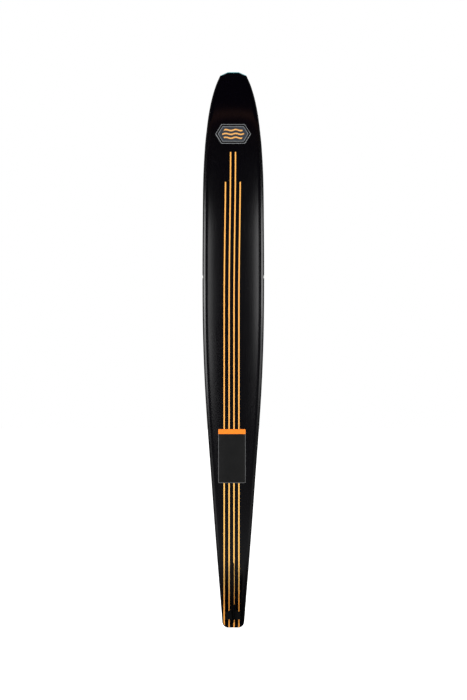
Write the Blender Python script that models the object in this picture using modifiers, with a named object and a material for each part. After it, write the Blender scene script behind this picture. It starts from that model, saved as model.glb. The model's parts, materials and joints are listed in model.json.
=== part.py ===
# Slalom water ski with its adjustable fin. Sizes are metres.
# The ski stands on its tail: the base faces -Y, the deck faces +Y and the tip points to +Z.
# Places along the ski are distances from the tail. The origin lies on the flat binding deck,
# on the centre line, midway between the front and the rear binding.

import math

import bmesh
import bpy
from mathutils import Matrix, Vector

# Ski outline, seen from the base
SKI_LENGTH = 1.702
MAX_WIDTH = 0.1886
TAIL_WIDTH = 0.0650
TAIL_CORNER_RADIUS = 0.0170
TIP_END_WIDTH = 0.0330
TIP_SHOULDER_WIDTH = 0.0810
TIP_CHAMFER_LENGTH = 0.0110
# Sidecut between tail and tip: share of the length, share of the widest width
SIDECUT = (
    (0.020, 0.373), (0.099, 0.486), (0.186, 0.609), (0.273, 0.722), (0.359, 0.837),
    (0.445, 0.931), (0.532, 0.986), (0.619, 1.000), (0.720, 0.994), (0.807, 0.975),
    (0.864, 0.922), (0.893, 0.870), (0.922, 0.803), (0.951, 0.700), (0.976, 0.566),
)

# Side view
BODY_THICKNESS = 0.0200
TAIL_THICKNESS = 0.0120
TIP_THICKNESS = 0.0080
ROCKER_LOW_POINT = 0.650
TAIL_ROCKER = 0.0120
TIP_ROCKER = 0.0720
TIP_ROCKER_POWER = 3.0
DECK_RISE_POWER = 1.75
END_RADIUS = 0.0025
BINDING_FROM_TAIL = 0.730
BINDING_DECK_LENGTH = 0.660
FIN_DECK_LENGTH = 0.225

# Cross section of the body
TUNNEL_DEPTH = 0.0055
TAIL_TUNNEL_DEPTH = 0.0030
TUNNEL_POWER = 2.6
TUNNEL_DEEP_FROM = 0.600
TUNNEL_FADE_FROM = 1.180
TUNNEL_FADE_TO = 1.620
BASE_FLAT_WIDTH = 0.0060
BEVEL_WIDTH = 0.0050
RAIL_WIDTH = 0.0030
FULL_EDGE_HALF_WIDTH = 0.0340
BEVEL_HEIGHT_SHARE = 0.22
SEAM_HEIGHT_SHARE = 0.50
SIDEWALL_SHARE = 0.08
SHOULDER_SHARE = 0.26
TUNNEL_STEPS = 6
RAIL_STEPS = 2
SHOULDER_STEPS = 4

# Laminate shells and core
WALL = 0.0016
SEAT_GAP = 0.0003
END_WALL = 0.0090
END_WALL_SLOPE = 0.0037

# Binding mounts in the deck
INSERT_COLUMN_SPACING = 0.0760
INSERT_ROW_SPACING = 0.1050
INSERT_ROWS = 3
INSERT_GROUP_SPACING = 0.3000
INSERT_RADIUS = 0.0050
INSERT_FLANGE_RADIUS = 0.0062
INSERT_BORE_RADIUS = 0.0031
INSERT_FLOOR = 0.0008
PLATE_THICKNESS = 0.0055
PLATE_WIDTH = 0.1040
PLATE_MARGIN = 0.0150

# Fin
FIN_LENGTH = 0.1750
FIN_FROM_TAIL = 0.0195
FIN_DEPTH = 0.0635
FIN_THICKNESS = 0.0016
FIN_TOP_HEIGHT = 0.0074
FIN_BOTTOM_FRONT_SETBACK = 0.0275
FIN_BOTTOM_REAR_SETBACK = 0.0045
FIN_LEADING_RADIUS = 0.0600
FIN_TRAILING_RADIUS = 0.0160
FIN_TOP_RADIUS = 0.0030
FORE_AFT_TRAVEL = 0.0035
DEPTH_TRAVEL = 0.0020
SLOT_WIDTH = 0.0040
SLOT_END_ROOM = 0.0010
TAIL_BLOCK_WIDTH = 0.0520
TAIL_BLOCK_MARGIN = 0.0120

# Fin block on the deck
BLOCK_HEIGHT = 0.0170
HOUSING_WIDTH = 0.0250
HOUSING_EDGE_RADIUS = 0.0020
HOUSING_FOOT_RADIUS = 0.0012
BLOCK_END_WALL = 0.0060
BLOCK_END_RADIUS = 0.0060
BLOCK_ROOF = 0.0030
POCKET_WIDTH = 0.0170
FLANGE_WIDTH = 0.0430
FLANGE_THICKNESS = 0.0032
FLANGE_EDGE_RADIUS = 0.0008
LUG_RADIUS = 0.0065
SCALLOP_RADIUS = 0.0040
MOUNT_SCREW_SPREAD = 0.0346
MOUNT_SCREW_PITCH = 0.0800
MOUNT_SCREW_RADIUS = 0.0020
MOUNT_HEAD_RADIUS = 0.0037
MOUNT_HEAD_HEIGHT = 0.0022
MOUNT_SCREW_LENGTH = 0.0100
FIN_INSERT_RADIUS = 0.0033
FIN_INSERT_LENGTH = 0.0062
LOCK_SCREW_RADIUS = 0.0020
LOCK_SCREW_HEIGHT = 0.0062
LOCK_SCREW_SPREAD = 0.0800

# Carriage that clamps the fin and slides in the block
CARRIAGE_CLEARANCE = 0.0002
CARRIAGE_END_ROOM = 0.0010
CARRIAGE_LIFT = 0.0008
CARRIAGE_WEB = 0.0036
CARRIAGE_EDGE = 0.0004
BLADE_CLEARANCE = 0.00015
ADJUSTER_RADIUS = 0.0024
ADJUSTER_HEIGHT = 0.0070
ADJUSTER_PROUD = 0.0010
DEPTH_SCREW_SPREAD = 0.1160
DEPTH_SCREW_RADIUS = 0.0024
DEPTH_SCREW_NECK_RADIUS = 0.0013
DEPTH_SCREW_TOP = 0.0146
HOOK_HEIGHT = 0.0016
FOOT_HEIGHT = 0.0015
NOTCH_GAP = 0.0004

# Wing pair on the fin
WING_FROM_FIN_REAR = 0.0080
WING_BELOW_BASE = 0.0380
WING_SPINE_LENGTH = 0.0460
WING_SPAN = 0.0436
WING_ROOT_CHORD = 0.0270
WING_TIP_CHORD = 0.0180
WING_SHEET = 0.0012
WING_FLANGE_HEIGHT = 0.0145
WING_BEND_RADIUS = 0.0012
WING_NECK = 0.0012
WING_NECK_RADIUS = 0.0040
WING_NOSE_RADIUS = 0.0008
WING_TIP_RADIUS = 0.0025
WING_ANGLE = math.radians(8.0)
WING_TILT = math.radians(3.0)
WING_SCREW_MARGIN = 0.0090
WING_SCREW_RADIUS = 0.0015
WING_HEAD_RADIUS = 0.0027
WING_HEAD_HEIGHT = 0.0016
WING_NUT_RADIUS = 0.0031
WING_NUT_HEIGHT = 0.0020

# Screws
THREAD_CLEARANCE = 0.00015
THREAD_CHAMFER = 0.0004
DRIVE_DEPTH = 0.0018
# Share of the thread's radius that the hexagon socket takes, and of the head's height
DRIVE_SHARE = 0.60
HEAD_DRIVE_SHARE = 0.70
# Domed head from its crown to its rim: shares of its radius and height
HEAD_DOME = ((0.62, 1.0), (0.92, 0.6), (1.0, 0.0))

# Fineness of the shapes
BODY_STATIONS = 20
CROWDING_TO_TIP = 1.35
SHARP_ANGLE = math.radians(32.0)
ROUND_STEPS = 12
CORNER_STEPS = 5
SMALL_RADIUS = 0.0030
SMALL_CORNER_STEPS = 2
END_STEPS = 3
MERGE = 0.000001
OVERCUT = 0.002


# Scene, collections and finishes

def clear_scene():
    for item in list(bpy.data.objects):
        bpy.data.objects.remove(item, do_unlink=True)


def new_collection(name):
    collection = bpy.data.collections.new(name)
    bpy.context.scene.collection.children.link(collection)
    return collection


def new_material(name, colour, roughness, metallic):
    material = bpy.data.materials.new(name)
    material.use_nodes = True
    shader = material.node_tree.nodes["Principled BSDF"]
    shader.inputs["Base Color"].default_value = (*colour, 1.0)
    shader.inputs["Roughness"].default_value = roughness
    shader.inputs["Metallic"].default_value = metallic
    material.diffuse_color = (*colour, 1.0)
    return material


clear_scene()
SKI = new_collection("slalom_water_ski")
CUTTERS = new_collection("cutters")
BASE_BLACK = new_material("base_black", (0.012, 0.012, 0.013), 0.34, 0.0)
DECK_BLACK = new_material("deck_black", (0.020, 0.020, 0.021), 0.55, 0.0)
FOAM = new_material("core_foam", (0.78, 0.70, 0.48), 0.90, 0.0)
COMPOSITE = new_material("insert_composite", (0.16, 0.15, 0.12), 0.60, 0.0)
STAINLESS = new_material("stainless_steel", (0.62, 0.62, 0.63), 0.28, 1.0)
BRASS = new_material("insert_brass", (0.66, 0.50, 0.24), 0.35, 1.0)
ANODISED = new_material("anodised_block", (0.050, 0.050, 0.054), 0.38, 0.8)
CARRIAGE_GREY = new_material("carriage_aluminium", (0.48, 0.49, 0.51), 0.36, 1.0)
FIN_BLACK = new_material("fin_black", (0.016, 0.016, 0.018), 0.32, 0.6)


# Places along the ski

def place(distance):
    """World Z of a place that lies this far from the tail."""
    return distance - BINDING_FROM_TAIL


def smooth_step(share):
    share = min(max(share, 0.0), 1.0)
    return share * share * (3.0 - 2.0 * share)


def curve_through(points, at):
    """Smooth curve through (place, value) pairs: cubic pieces that share their slopes."""
    last = len(points) - 1

    def slope(index):
        before = points[max(index - 1, 0)]
        after = points[min(index + 1, last)]
        return (after[1] - before[1]) / (after[0] - before[0])

    piece = next((i for i in range(last - 1) if at < points[i + 1][0]), last - 1)
    start, end = points[piece], points[piece + 1]
    span = end[0] - start[0]
    t = (at - start[0]) / span
    bend = t * (1.0 - t) * span * (slope(piece) * (1.0 - t) - slope(piece + 1) * t)
    return start[1] + (end[1] - start[1]) * smooth_step(t) + bend


def quarter_arc(radius, distance):
    """How far a rounded end of this radius is drawn in, this far from the end."""
    if distance >= radius:
        return 0.0
    return radius - math.sqrt(radius ** 2 - (radius - distance) ** 2)


TIP_SHOULDER_AT = SKI_LENGTH - TIP_CHAMFER_LENGTH
OUTLINE = (
    [(0.0, TAIL_WIDTH)]
    + [(share * SKI_LENGTH, width * MAX_WIDTH) for share, width in SIDECUT]
    + [(TIP_SHOULDER_AT, TIP_SHOULDER_WIDTH)]
)


def half_width(distance):
    if distance > TIP_SHOULDER_AT:
        left = (SKI_LENGTH - distance) / TIP_CHAMFER_LENGTH
        return (TIP_END_WIDTH + (TIP_SHOULDER_WIDTH - TIP_END_WIDTH) * left) / 2
    return curve_through(OUTLINE, distance) / 2 - quarter_arc(TAIL_CORNER_RADIUS, distance)


def base_line(distance):
    """World Y of the flats of the base, with the rocker that lifts tail and tip."""
    if distance < ROCKER_LOW_POINT:
        rise = TAIL_ROCKER * (1.0 - distance / ROCKER_LOW_POINT) ** 2
    else:
        share = (distance - ROCKER_LOW_POINT) / (SKI_LENGTH - ROCKER_LOW_POINT)
        rise = TIP_ROCKER * share ** TIP_ROCKER_POWER
    return rise - BODY_THICKNESS


BINDING_DECK_START = BINDING_FROM_TAIL - BINDING_DECK_LENGTH / 2
BINDING_DECK_END = BINDING_FROM_TAIL + BINDING_DECK_LENGTH / 2
FIN_DECK = base_line(0.0) + TAIL_THICKNESS
TIP_DECK = base_line(SKI_LENGTH) + TIP_THICKNESS


def deck_line(distance):
    """World Y of the deck: level under the fin block and under the bindings."""
    if distance > BINDING_DECK_END:
        share = (distance - BINDING_DECK_END) / (SKI_LENGTH - BINDING_DECK_END)
        return TIP_DECK * share ** DECK_RISE_POWER
    share = (distance - FIN_DECK_LENGTH) / (BINDING_DECK_START - FIN_DECK_LENGTH)
    return FIN_DECK * (1.0 - smooth_step(share))


def seam_line(distance):
    """World Y of the seam where the two shells meet on the sidewall."""
    base = base_line(distance)
    return base + SEAM_HEIGHT_SHARE * (deck_line(distance) - base)


def tunnel_depth(distance):
    deep = smooth_step(distance / TUNNEL_DEEP_FROM)
    depth = TAIL_TUNNEL_DEPTH + (TUNNEL_DEPTH - TAIL_TUNNEL_DEPTH) * deep
    fade = (distance - TUNNEL_FADE_FROM) / (TUNNEL_FADE_TO - TUNNEL_FADE_FROM)
    return depth * (1.0 - smooth_step(fade))


# Cross sections of the body

def end_distance(distance):
    return min(distance, SKI_LENGTH - distance)


def mirrored_path(half):
    """Path from the left seam to the right one, from the half that starts at the middle."""
    left = [(-x, y) for x, y in reversed(half) if x > 0.0]
    return left + half


def base_path(distance, inset, seam):
    """Base from seam to seam: tunnel, flats, bevels and rounded rails, drawn in by the inset."""
    half = half_width(distance) - inset
    edge = min(1.0, half / FULL_EDGE_HALF_WIDTH)
    low = base_line(distance) + quarter_arc(END_RADIUS, end_distance(distance)) + inset
    rise = BEVEL_HEIGHT_SHARE * (deck_line(distance) - base_line(distance)) * edge
    rail = half - RAIL_WIDTH * edge
    bevel = rail - BEVEL_WIDTH * edge
    tunnel = bevel - BASE_FLAT_WIDTH * edge
    depth = tunnel_depth(distance) * edge
    points = []
    for step in range(TUNNEL_STEPS + 1):
        share = step / TUNNEL_STEPS
        points.append((tunnel * share, low + depth * (1.0 - share ** TUNNEL_POWER)))
    points.append((bevel, low))
    top = min(low + rise, seam - MERGE)
    turn = min(top + (half - rail) * rise / (rail - bevel), seam)
    points.append((rail, top))
    for step in range(1, RAIL_STEPS + 1):
        t = step / RAIL_STEPS
        x = rail * (1.0 - t) ** 2 + half * (1.0 - (1.0 - t) ** 2)
        y = top * (1.0 - t) ** 2 + turn * 2.0 * t * (1.0 - t) + seam * t ** 2
        points.append((x, y))
    return mirrored_path(points)


def deck_path(distance, inset, seam):
    """Deck from seam to seam: short sidewalls, rounded shoulders and the flat middle."""
    half = half_width(distance) - inset
    top = deck_line(distance) - quarter_arc(END_RADIUS, end_distance(distance)) - inset
    wall = seam + SIDEWALL_SHARE * (top - seam)
    shoulder = SHOULDER_SHARE * half
    points = []
    for step in range(SHOULDER_STEPS + 1):
        angle = math.pi / 2 * (1.0 - step / SHOULDER_STEPS)
        x = half - shoulder * (1.0 - math.cos(angle))
        points.append((x, wall + (top - wall) * math.sin(angle)))
    points.append((half, seam))
    return mirrored_path(points)


def stations():
    """Places of the lofted sections: close at the rounded ends, even along the body."""
    places = {0.0, SKI_LENGTH, END_WALL, SKI_LENGTH - END_WALL}
    places |= {CORE_START - SEAT_GAP, CORE_START, CORE_END, CORE_END + SEAT_GAP}
    places |= {FIN_DECK_LENGTH, BINDING_DECK_START, BINDING_DECK_END, TIP_SHOULDER_AT}
    for step in range(1, CORNER_STEPS + 1):
        angle = math.pi / 2 * step / CORNER_STEPS
        places.add(TAIL_CORNER_RADIUS * (1.0 - math.cos(angle)))
    for step in range(1, END_STEPS + 1):
        places.add(SKI_LENGTH - END_RADIUS * (1.0 - math.cos(math.pi / 2 * step / END_STEPS)))
    places.add(END_RADIUS)
    start, end = TAIL_CORNER_RADIUS, TIP_SHOULDER_AT
    for step in range(1, BODY_STATIONS):
        share = step / BODY_STATIONS
        places.add(start + (end - start) * (1.0 - (1.0 - share) ** CROWDING_TO_TIP))
    ordered = sorted(places)
    kept = [ordered[0]]
    for at in ordered[1:]:
        if at - kept[-1] >= SEAT_GAP / 2:
            kept.append(at)
    kept[-1] = SKI_LENGTH
    return kept


CORE_START = END_WALL + END_WALL_SLOPE
CORE_END = SKI_LENGTH - CORE_START
STATIONS = stations()


# Modelling helpers

def mesh_of(name, shape):
    mesh = bpy.data.meshes.new(name)
    bmesh.ops.recalc_face_normals(shape, faces=shape.faces[:])
    shape.to_mesh(mesh)
    shape.free()
    return mesh


def lofted(name, rings):
    """Closed mesh through rings that have the same number of points."""
    shape = bmesh.new()
    rows = [[shape.verts.new(point) for point in ring] for ring in rings]
    count = len(rows[0])
    for before, after in zip(rows, rows[1:]):
        for i in range(count):
            j = (i + 1) % count
            shape.faces.new((before[i], before[j], after[j], after[i]))
    shape.faces.new(rows[0])
    shape.faces.new(rows[-1])
    return mesh_of(name, shape)


def evaluated_mesh(item):
    """Copy of an object's mesh with its modifiers applied, in the object's own axes."""
    bpy.context.view_layer.update()
    graph = bpy.context.evaluated_depsgraph_get()
    return bpy.data.meshes.new_from_object(item.evaluated_get(graph))


def rounded(corners):
    """Outline through (x, y, radius) corners, each rounded by an arc of its radius."""
    outline = []
    for i, (x, y, radius) in enumerate(corners):
        here = Vector((x, y))
        if radius <= 0.0:
            outline.append(here)
            continue
        back = (Vector(corners[i - 1][:2]) - here).normalized()
        ahead = (Vector(corners[(i + 1) % len(corners)][:2]) - here).normalized()
        half_angle = back.angle(ahead) / 2
        start = here + back * radius / math.tan(half_angle)
        end = here + ahead * radius / math.tan(half_angle)
        centre = here + (back + ahead).normalized() * radius / math.sin(half_angle)
        turn = (start - centre).angle_signed(end - centre)
        fineness = CORNER_STEPS if radius > SMALL_RADIUS else SMALL_CORNER_STEPS
        steps = max(2, round(abs(turn) / (math.pi / 2) * fineness))
        for step in range(steps + 1):
            arm = (start - centre).copy()
            arm.rotate(Matrix.Rotation(-turn * step / steps, 2))
            outline.append(centre + arm)
    return [(point.x, point.y) for point in outline]


def extruded(name, outline, low, high, axis):
    """Flat outline, filled and extruded from low to high along X, Y or Z.
    Its first coordinate is Z for X, and X for Y and Z. Its second is Y for X and Z, Z for Y."""
    curve = bpy.data.curves.new(name, "CURVE")
    curve.dimensions = "2D"
    curve.fill_mode = "BOTH"
    curve.extrude = (high - low) / 2
    spline = curve.splines.new("POLY")
    spline.points.add(len(outline) - 1)
    for point, (first, second) in zip(spline.points, outline):
        point.co = (first, second, 0.0, 1.0)
    spline.use_cyclic_u = True
    item = bpy.data.objects.new(name, curve)
    bpy.context.scene.collection.objects.link(item)
    shape = bmesh.new()
    shape.from_mesh(evaluated_mesh(item))
    bpy.data.objects.remove(item, do_unlink=True)
    bmesh.ops.remove_doubles(shape, verts=shape.verts[:], dist=MERGE)
    columns = {
        "X": ((0, 0, 1), (0, 1, 0), (1, 0, 0)),
        "Y": ((1, 0, 0), (0, 0, 1), (0, 1, 0)),
        "Z": ((1, 0, 0), (0, 1, 0), (0, 0, 1)),
    }[axis]
    turn = Matrix(columns).transposed().to_4x4()
    lift = Matrix.Translation((0.0, 0.0, (low + high) / 2))
    bmesh.ops.transform(shape, matrix=turn @ lift, verts=shape.verts[:])
    return mesh_of(name, shape)


def box(name, low, high):
    shape = bmesh.new()
    low, high = Vector(low), Vector(high)
    size = Matrix.Diagonal((*(high - low), 1.0))
    bmesh.ops.create_cube(shape, size=1.0, matrix=Matrix.Translation((low + high) / 2) @ size)
    return mesh_of(name, shape)


def turned(name, profile, drive=None):
    """Profile of (radius, height) points, top first, turned about +Z.
    The drive is (top, radius, depth) of a hexagon socket in its top."""
    mesh = bpy.data.meshes.new(name)
    mesh.from_pydata([(r, 0.0, h) for r, h in profile], [(i, i + 1) for i in range(len(profile) - 1)], [])
    item = bpy.data.objects.new(name, mesh)
    bpy.context.scene.collection.objects.link(item)
    screw = item.modifiers.new("turn", "SCREW")
    screw.steps = ROUND_STEPS
    screw.render_steps = ROUND_STEPS
    screw.use_merge_vertices = True
    screw.merge_threshold = MERGE
    socket = None
    if drive:
        top, radius, depth = drive
        socket = new_cutter(name + "_socket", drilled([(0.0, 0.0)], radius, top - depth, top + depth, 6))
        cut(item, socket)
    result = evaluated_mesh(item)
    result.name = name
    bpy.data.objects.remove(item, do_unlink=True)
    if socket:
        bpy.data.objects.remove(socket, do_unlink=True)
    return result


def drilled(centres, radius, low, high, sides=ROUND_STEPS):
    """Round or six-sided bars along Z, from low to high, one at each (x, y) centre."""
    shape = bmesh.new()
    for x, y in centres:
        middle = Matrix.Translation((x, y, (low + high) / 2))
        bmesh.ops.create_cone(
            shape, cap_ends=True, segments=sides, radius1=radius, radius2=radius,
            depth=high - low, matrix=middle,
        )
    return mesh_of("bars", shape)


def new_object(name, mesh, material=None, at=(0.0, 0.0, 0.0), turn=None):
    """A piece of the ski at its place. The turn is a rotation matrix."""
    item = bpy.data.objects.new(name, mesh)
    item.matrix_world = Matrix.Translation(at) @ (turn or Matrix.Identity(4))
    (SKI if material else CUTTERS).objects.link(item)
    if material:
        mesh.materials.clear()
        mesh.materials.append(material)
        mesh.shade_smooth()
        mesh.set_sharp_from_angle(angle=SHARP_ANGLE)
    return item


def new_cutter(name, mesh, at=(0.0, 0.0, 0.0), turn=None):
    item = new_object(name, mesh, None, at, turn)
    item.hide_render = True
    item.display_type = "WIRE"
    return item


def cut(item, cutter, operation="DIFFERENCE"):
    boolean = item.modifiers.new(cutter.name, "BOOLEAN")
    boolean.operation = operation
    boolean.object = cutter
    return item


def carried_by(item, parent):
    """Parent a piece without moving it."""
    bpy.context.view_layer.update()
    item.parent = parent
    item.matrix_parent_inverse = parent.matrix_world.inverted()
    return item


# Turns that point a piece's own +Z along another axis
UPWARD = Matrix.Rotation(-math.pi / 2, 4, "X")
TO_RIGHT = Matrix.Rotation(math.pi / 2, 4, "Y")
TO_LEFT = Matrix.Rotation(-math.pi / 2, 4, "Y")
TO_TIP = Matrix.Identity(4)
TO_TAIL = Matrix.Rotation(math.pi, 4, "X")


# Ski body

def shell_mesh(name, path, seam_shift):
    """Thin laminate half between its outer path and the same path drawn in by the wall.
    Its last stretch at each end is solid up to the seam."""
    rings = []
    for at in STATIONS:
        seam = seam_line(at) + seam_shift
        outer = path(at, 0.0, seam)
        inner = path(at, WALL, seam)
        if end_distance(at) <= END_WALL:
            inner = [(x, seam) for x, _ in inner]
        ring = outer + inner[::-1]
        rings.append([(x, y, place(at)) for x, y in ring])
    return lofted(name, rings)


def core_mesh(name):
    """Solid that fills the two shells with the seat gap to spare."""
    inset = WALL + SEAT_GAP
    rings = []
    for at in STATIONS:
        if not CORE_START - MERGE <= at <= CORE_END + MERGE:
            continue
        seam = seam_line(at)
        ring = base_path(at, inset, seam) + deck_path(at, inset, seam)[-2:0:-1]
        rings.append([(x, y, place(at)) for x, y in ring])
    return lofted(name, rings)


def group_centres():
    """Middle of the rear and of the front group of binding mounts, in world Z."""
    return {"rear": -INSERT_GROUP_SPACING / 2, "front": INSERT_GROUP_SPACING / 2}


def insert_centres(middle):
    rows = [(row - (INSERT_ROWS - 1) / 2) * INSERT_ROW_SPACING for row in range(INSERT_ROWS)]
    columns = (-INSERT_COLUMN_SPACING / 2, INSERT_COLUMN_SPACING / 2)
    return [(x, middle + row) for row in rows for x in columns]


FIN_CENTRE = place(FIN_FROM_TAIL + FIN_LENGTH / 2)
SLOT_LENGTH = FIN_LENGTH + 2 * (FORE_AFT_TRAVEL + SLOT_END_ROOM)
MOUNT_SCREW_CENTRES = [
    (side * MOUNT_SCREW_SPREAD / 2, FIN_CENTRE + row * MOUNT_SCREW_PITCH)
    for row in (-1, 0, 1) for side in (-1, 1)
]
UNDER_SHELL = WALL + SEAT_GAP
INSERT_LENGTH = UNDER_SHELL + PLATE_THICKNESS


def along_deck(centres):
    """Centres in X and world Z, as the own X and Y of bars that are turned upward."""
    return [(x, -z) for x, z in centres]


def slot_cutter():
    half, end, radius = SLOT_WIDTH / 2, SLOT_LENGTH / 2, SLOT_WIDTH / 2 - MERGE
    corners = [(-half, -end, radius), (half, -end, radius), (half, end, radius), (-half, end, radius)]
    reach = BODY_THICKNESS + TAIL_ROCKER
    mesh = extruded("fin_slot", rounded(corners), -reach, reach, "Y")
    return new_cutter("fin_slot", mesh, (0.0, 0.0, FIN_CENTRE))


def build_body():
    base = new_object("base_shell", shell_mesh("base_shell", base_path, -SEAT_GAP / 2), BASE_BLACK)
    top = new_object("top_shell", shell_mesh("top_shell", deck_path, SEAT_GAP / 2), DECK_BLACK)
    core = new_object("foam_core", core_mesh("foam_core"), FOAM)
    block = new_object("tail_block", core_mesh("tail_block"), COMPOSITE)

    slot = slot_cutter()
    for item in (base, top, block):
        cut(item, slot)
    build_tail_block(block, core)
    build_binding_mounts(top, core)
    screw_holes = new_cutter(
        "fin_screw_holes",
        drilled(along_deck(MOUNT_SCREW_CENTRES), MOUNT_SCREW_RADIUS + SEAT_GAP, -WALL - OVERCUT, OVERCUT),
        (0.0, FIN_DECK, 0.0), UPWARD,
    )
    cut(top, screw_holes)


def build_tail_block(block, core):
    """Dense block in the core round the fin slot, with inserts for the fin block's screws."""
    end = FIN_CENTRE + SLOT_LENGTH / 2 + TAIL_BLOCK_MARGIN
    half = TAIL_BLOCK_WIDTH / 2
    reach = BODY_THICKNESS + TAIL_ROCKER
    start = place(0.0)
    kept = box("tail_block_zone", (-half, -reach, start), (half, reach, end))
    freed = box("tail_pocket", (-half - SEAT_GAP, -reach, start), (half + SEAT_GAP, reach, end + SEAT_GAP))
    cut(block, new_cutter("tail_block_zone", kept), "INTERSECT")
    cut(core, new_cutter("tail_pocket", freed))
    top = FIN_DECK - UNDER_SHELL
    holes = drilled(
        along_deck(MOUNT_SCREW_CENTRES), FIN_INSERT_RADIUS + SEAT_GAP,
        -FIN_INSERT_LENGTH - SEAT_GAP, OVERCUT,
    )
    cut(block, new_cutter("fin_insert_holes", holes, (0.0, top, 0.0), UPWARD))
    bore = MOUNT_SCREW_RADIUS + THREAD_CLEARANCE
    profile = [
        (0.0, -FIN_INSERT_LENGTH + INSERT_FLOOR), (bore, -FIN_INSERT_LENGTH + INSERT_FLOOR),
        (bore, 0.0), (FIN_INSERT_RADIUS, 0.0),
        (FIN_INSERT_RADIUS, -FIN_INSERT_LENGTH), (0.0, -FIN_INSERT_LENGTH),
    ]
    mesh = turned("fin_insert", profile)
    for number, (x, z) in enumerate(MOUNT_SCREW_CENTRES, 1):
        new_object("fin_insert_%d" % number, mesh, BRASS, (x, top, z), UPWARD)


def build_binding_mounts(top, core):
    """Two stiff plates under the deck, and the threaded inserts that sit in them."""
    body = INSERT_RADIUS
    rim = INSERT_FLANGE_RADIUS
    profile = [
        (0.0, -INSERT_LENGTH + INSERT_FLOOR), (INSERT_BORE_RADIUS, -INSERT_LENGTH + INSERT_FLOOR),
        (INSERT_BORE_RADIUS, 0.0), (rim, 0.0), (rim, -WALL),
        (body, -WALL), (body, -INSERT_LENGTH), (0.0, -INSERT_LENGTH),
    ]
    mesh = turned("binding_insert", profile)
    plate_bottom = -UNDER_SHELL - PLATE_THICKNESS
    everywhere = []
    for group, middle in group_centres().items():
        centres = insert_centres(middle)
        everywhere += centres
        half_x = PLATE_WIDTH / 2
        half_z = (INSERT_ROWS - 1) / 2 * INSERT_ROW_SPACING + PLATE_MARGIN
        plate = new_object(
            group + "_insert_plate",
            box(
                group + "_insert_plate",
                (-half_x, plate_bottom, middle - half_z), (half_x, -UNDER_SHELL, middle + half_z),
            ),
            COMPOSITE,
        )
        pocket = box(
            group + "_plate_pocket",
            (-half_x - SEAT_GAP, plate_bottom - SEAT_GAP, middle - half_z - SEAT_GAP),
            (half_x + SEAT_GAP, OVERCUT, middle + half_z + SEAT_GAP),
        )
        cut(core, new_cutter(group + "_plate_pocket", pocket))
        holes = drilled(along_deck(centres), body + SEAT_GAP, plate_bottom - OVERCUT, OVERCUT)
        cut(plate, new_cutter(group + "_insert_holes", holes, (0.0, 0.0, 0.0), UPWARD))
        for number, (x, z) in enumerate(centres, 1):
            new_object("%s_binding_insert_%d" % (group, number), mesh, BRASS, (x, 0.0, z), UPWARD)
    seats = drilled(along_deck(everywhere), rim + SEAT_GAP, -WALL - OVERCUT, OVERCUT)
    cut(top, new_cutter("binding_insert_holes", seats, (0.0, 0.0, 0.0), UPWARD))


# Fin block on the deck, with its screws

CARRIAGE_LENGTH = FIN_LENGTH - 2 * CARRIAGE_END_ROOM
POCKET_LENGTH = CARRIAGE_LENGTH + 2 * (FORE_AFT_TRAVEL + CARRIAGE_END_ROOM)
BLOCK_LENGTH = POCKET_LENGTH + 2 * BLOCK_END_WALL
POCKET_TOP = BLOCK_HEIGHT - BLOCK_ROOF
CARRIAGE_TOP = POCKET_TOP - SEAT_GAP
BLOCK_AT = (0.0, FIN_DECK, FIN_CENTRE)
DEPTH_SCREW_PLACES = {"front": DEPTH_SCREW_SPREAD / 2, "rear": -DEPTH_SCREW_SPREAD / 2}


def button_screw(name, radius, length, head_radius, head_height):
    """Screw with a domed head whose underside is at height 0."""
    dome = [(head_radius * out, head_height * up) for out, up in HEAD_DOME]
    shank = [
        (radius, 0.0), (radius, THREAD_CHAMFER - length),
        (radius - THREAD_CHAMFER, -length), (0.0, -length),
    ]
    drive = (head_height, radius * DRIVE_SHARE, head_height * HEAD_DRIVE_SHARE)
    return turned(name, [(0.0, head_height)] + dome + shank, drive)


def grub_screw(name, radius, length):
    """Headless screw whose outer end is at height 0."""
    point = radius - THREAD_CHAMFER
    profile = [
        (0.0, 0.0), (point, 0.0), (radius, -THREAD_CHAMFER),
        (radius, THREAD_CHAMFER - length), (point, -length), (0.0, -length),
    ]
    return turned(name, profile, (0.0, radius * DRIVE_SHARE, DRIVE_DEPTH))


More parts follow.
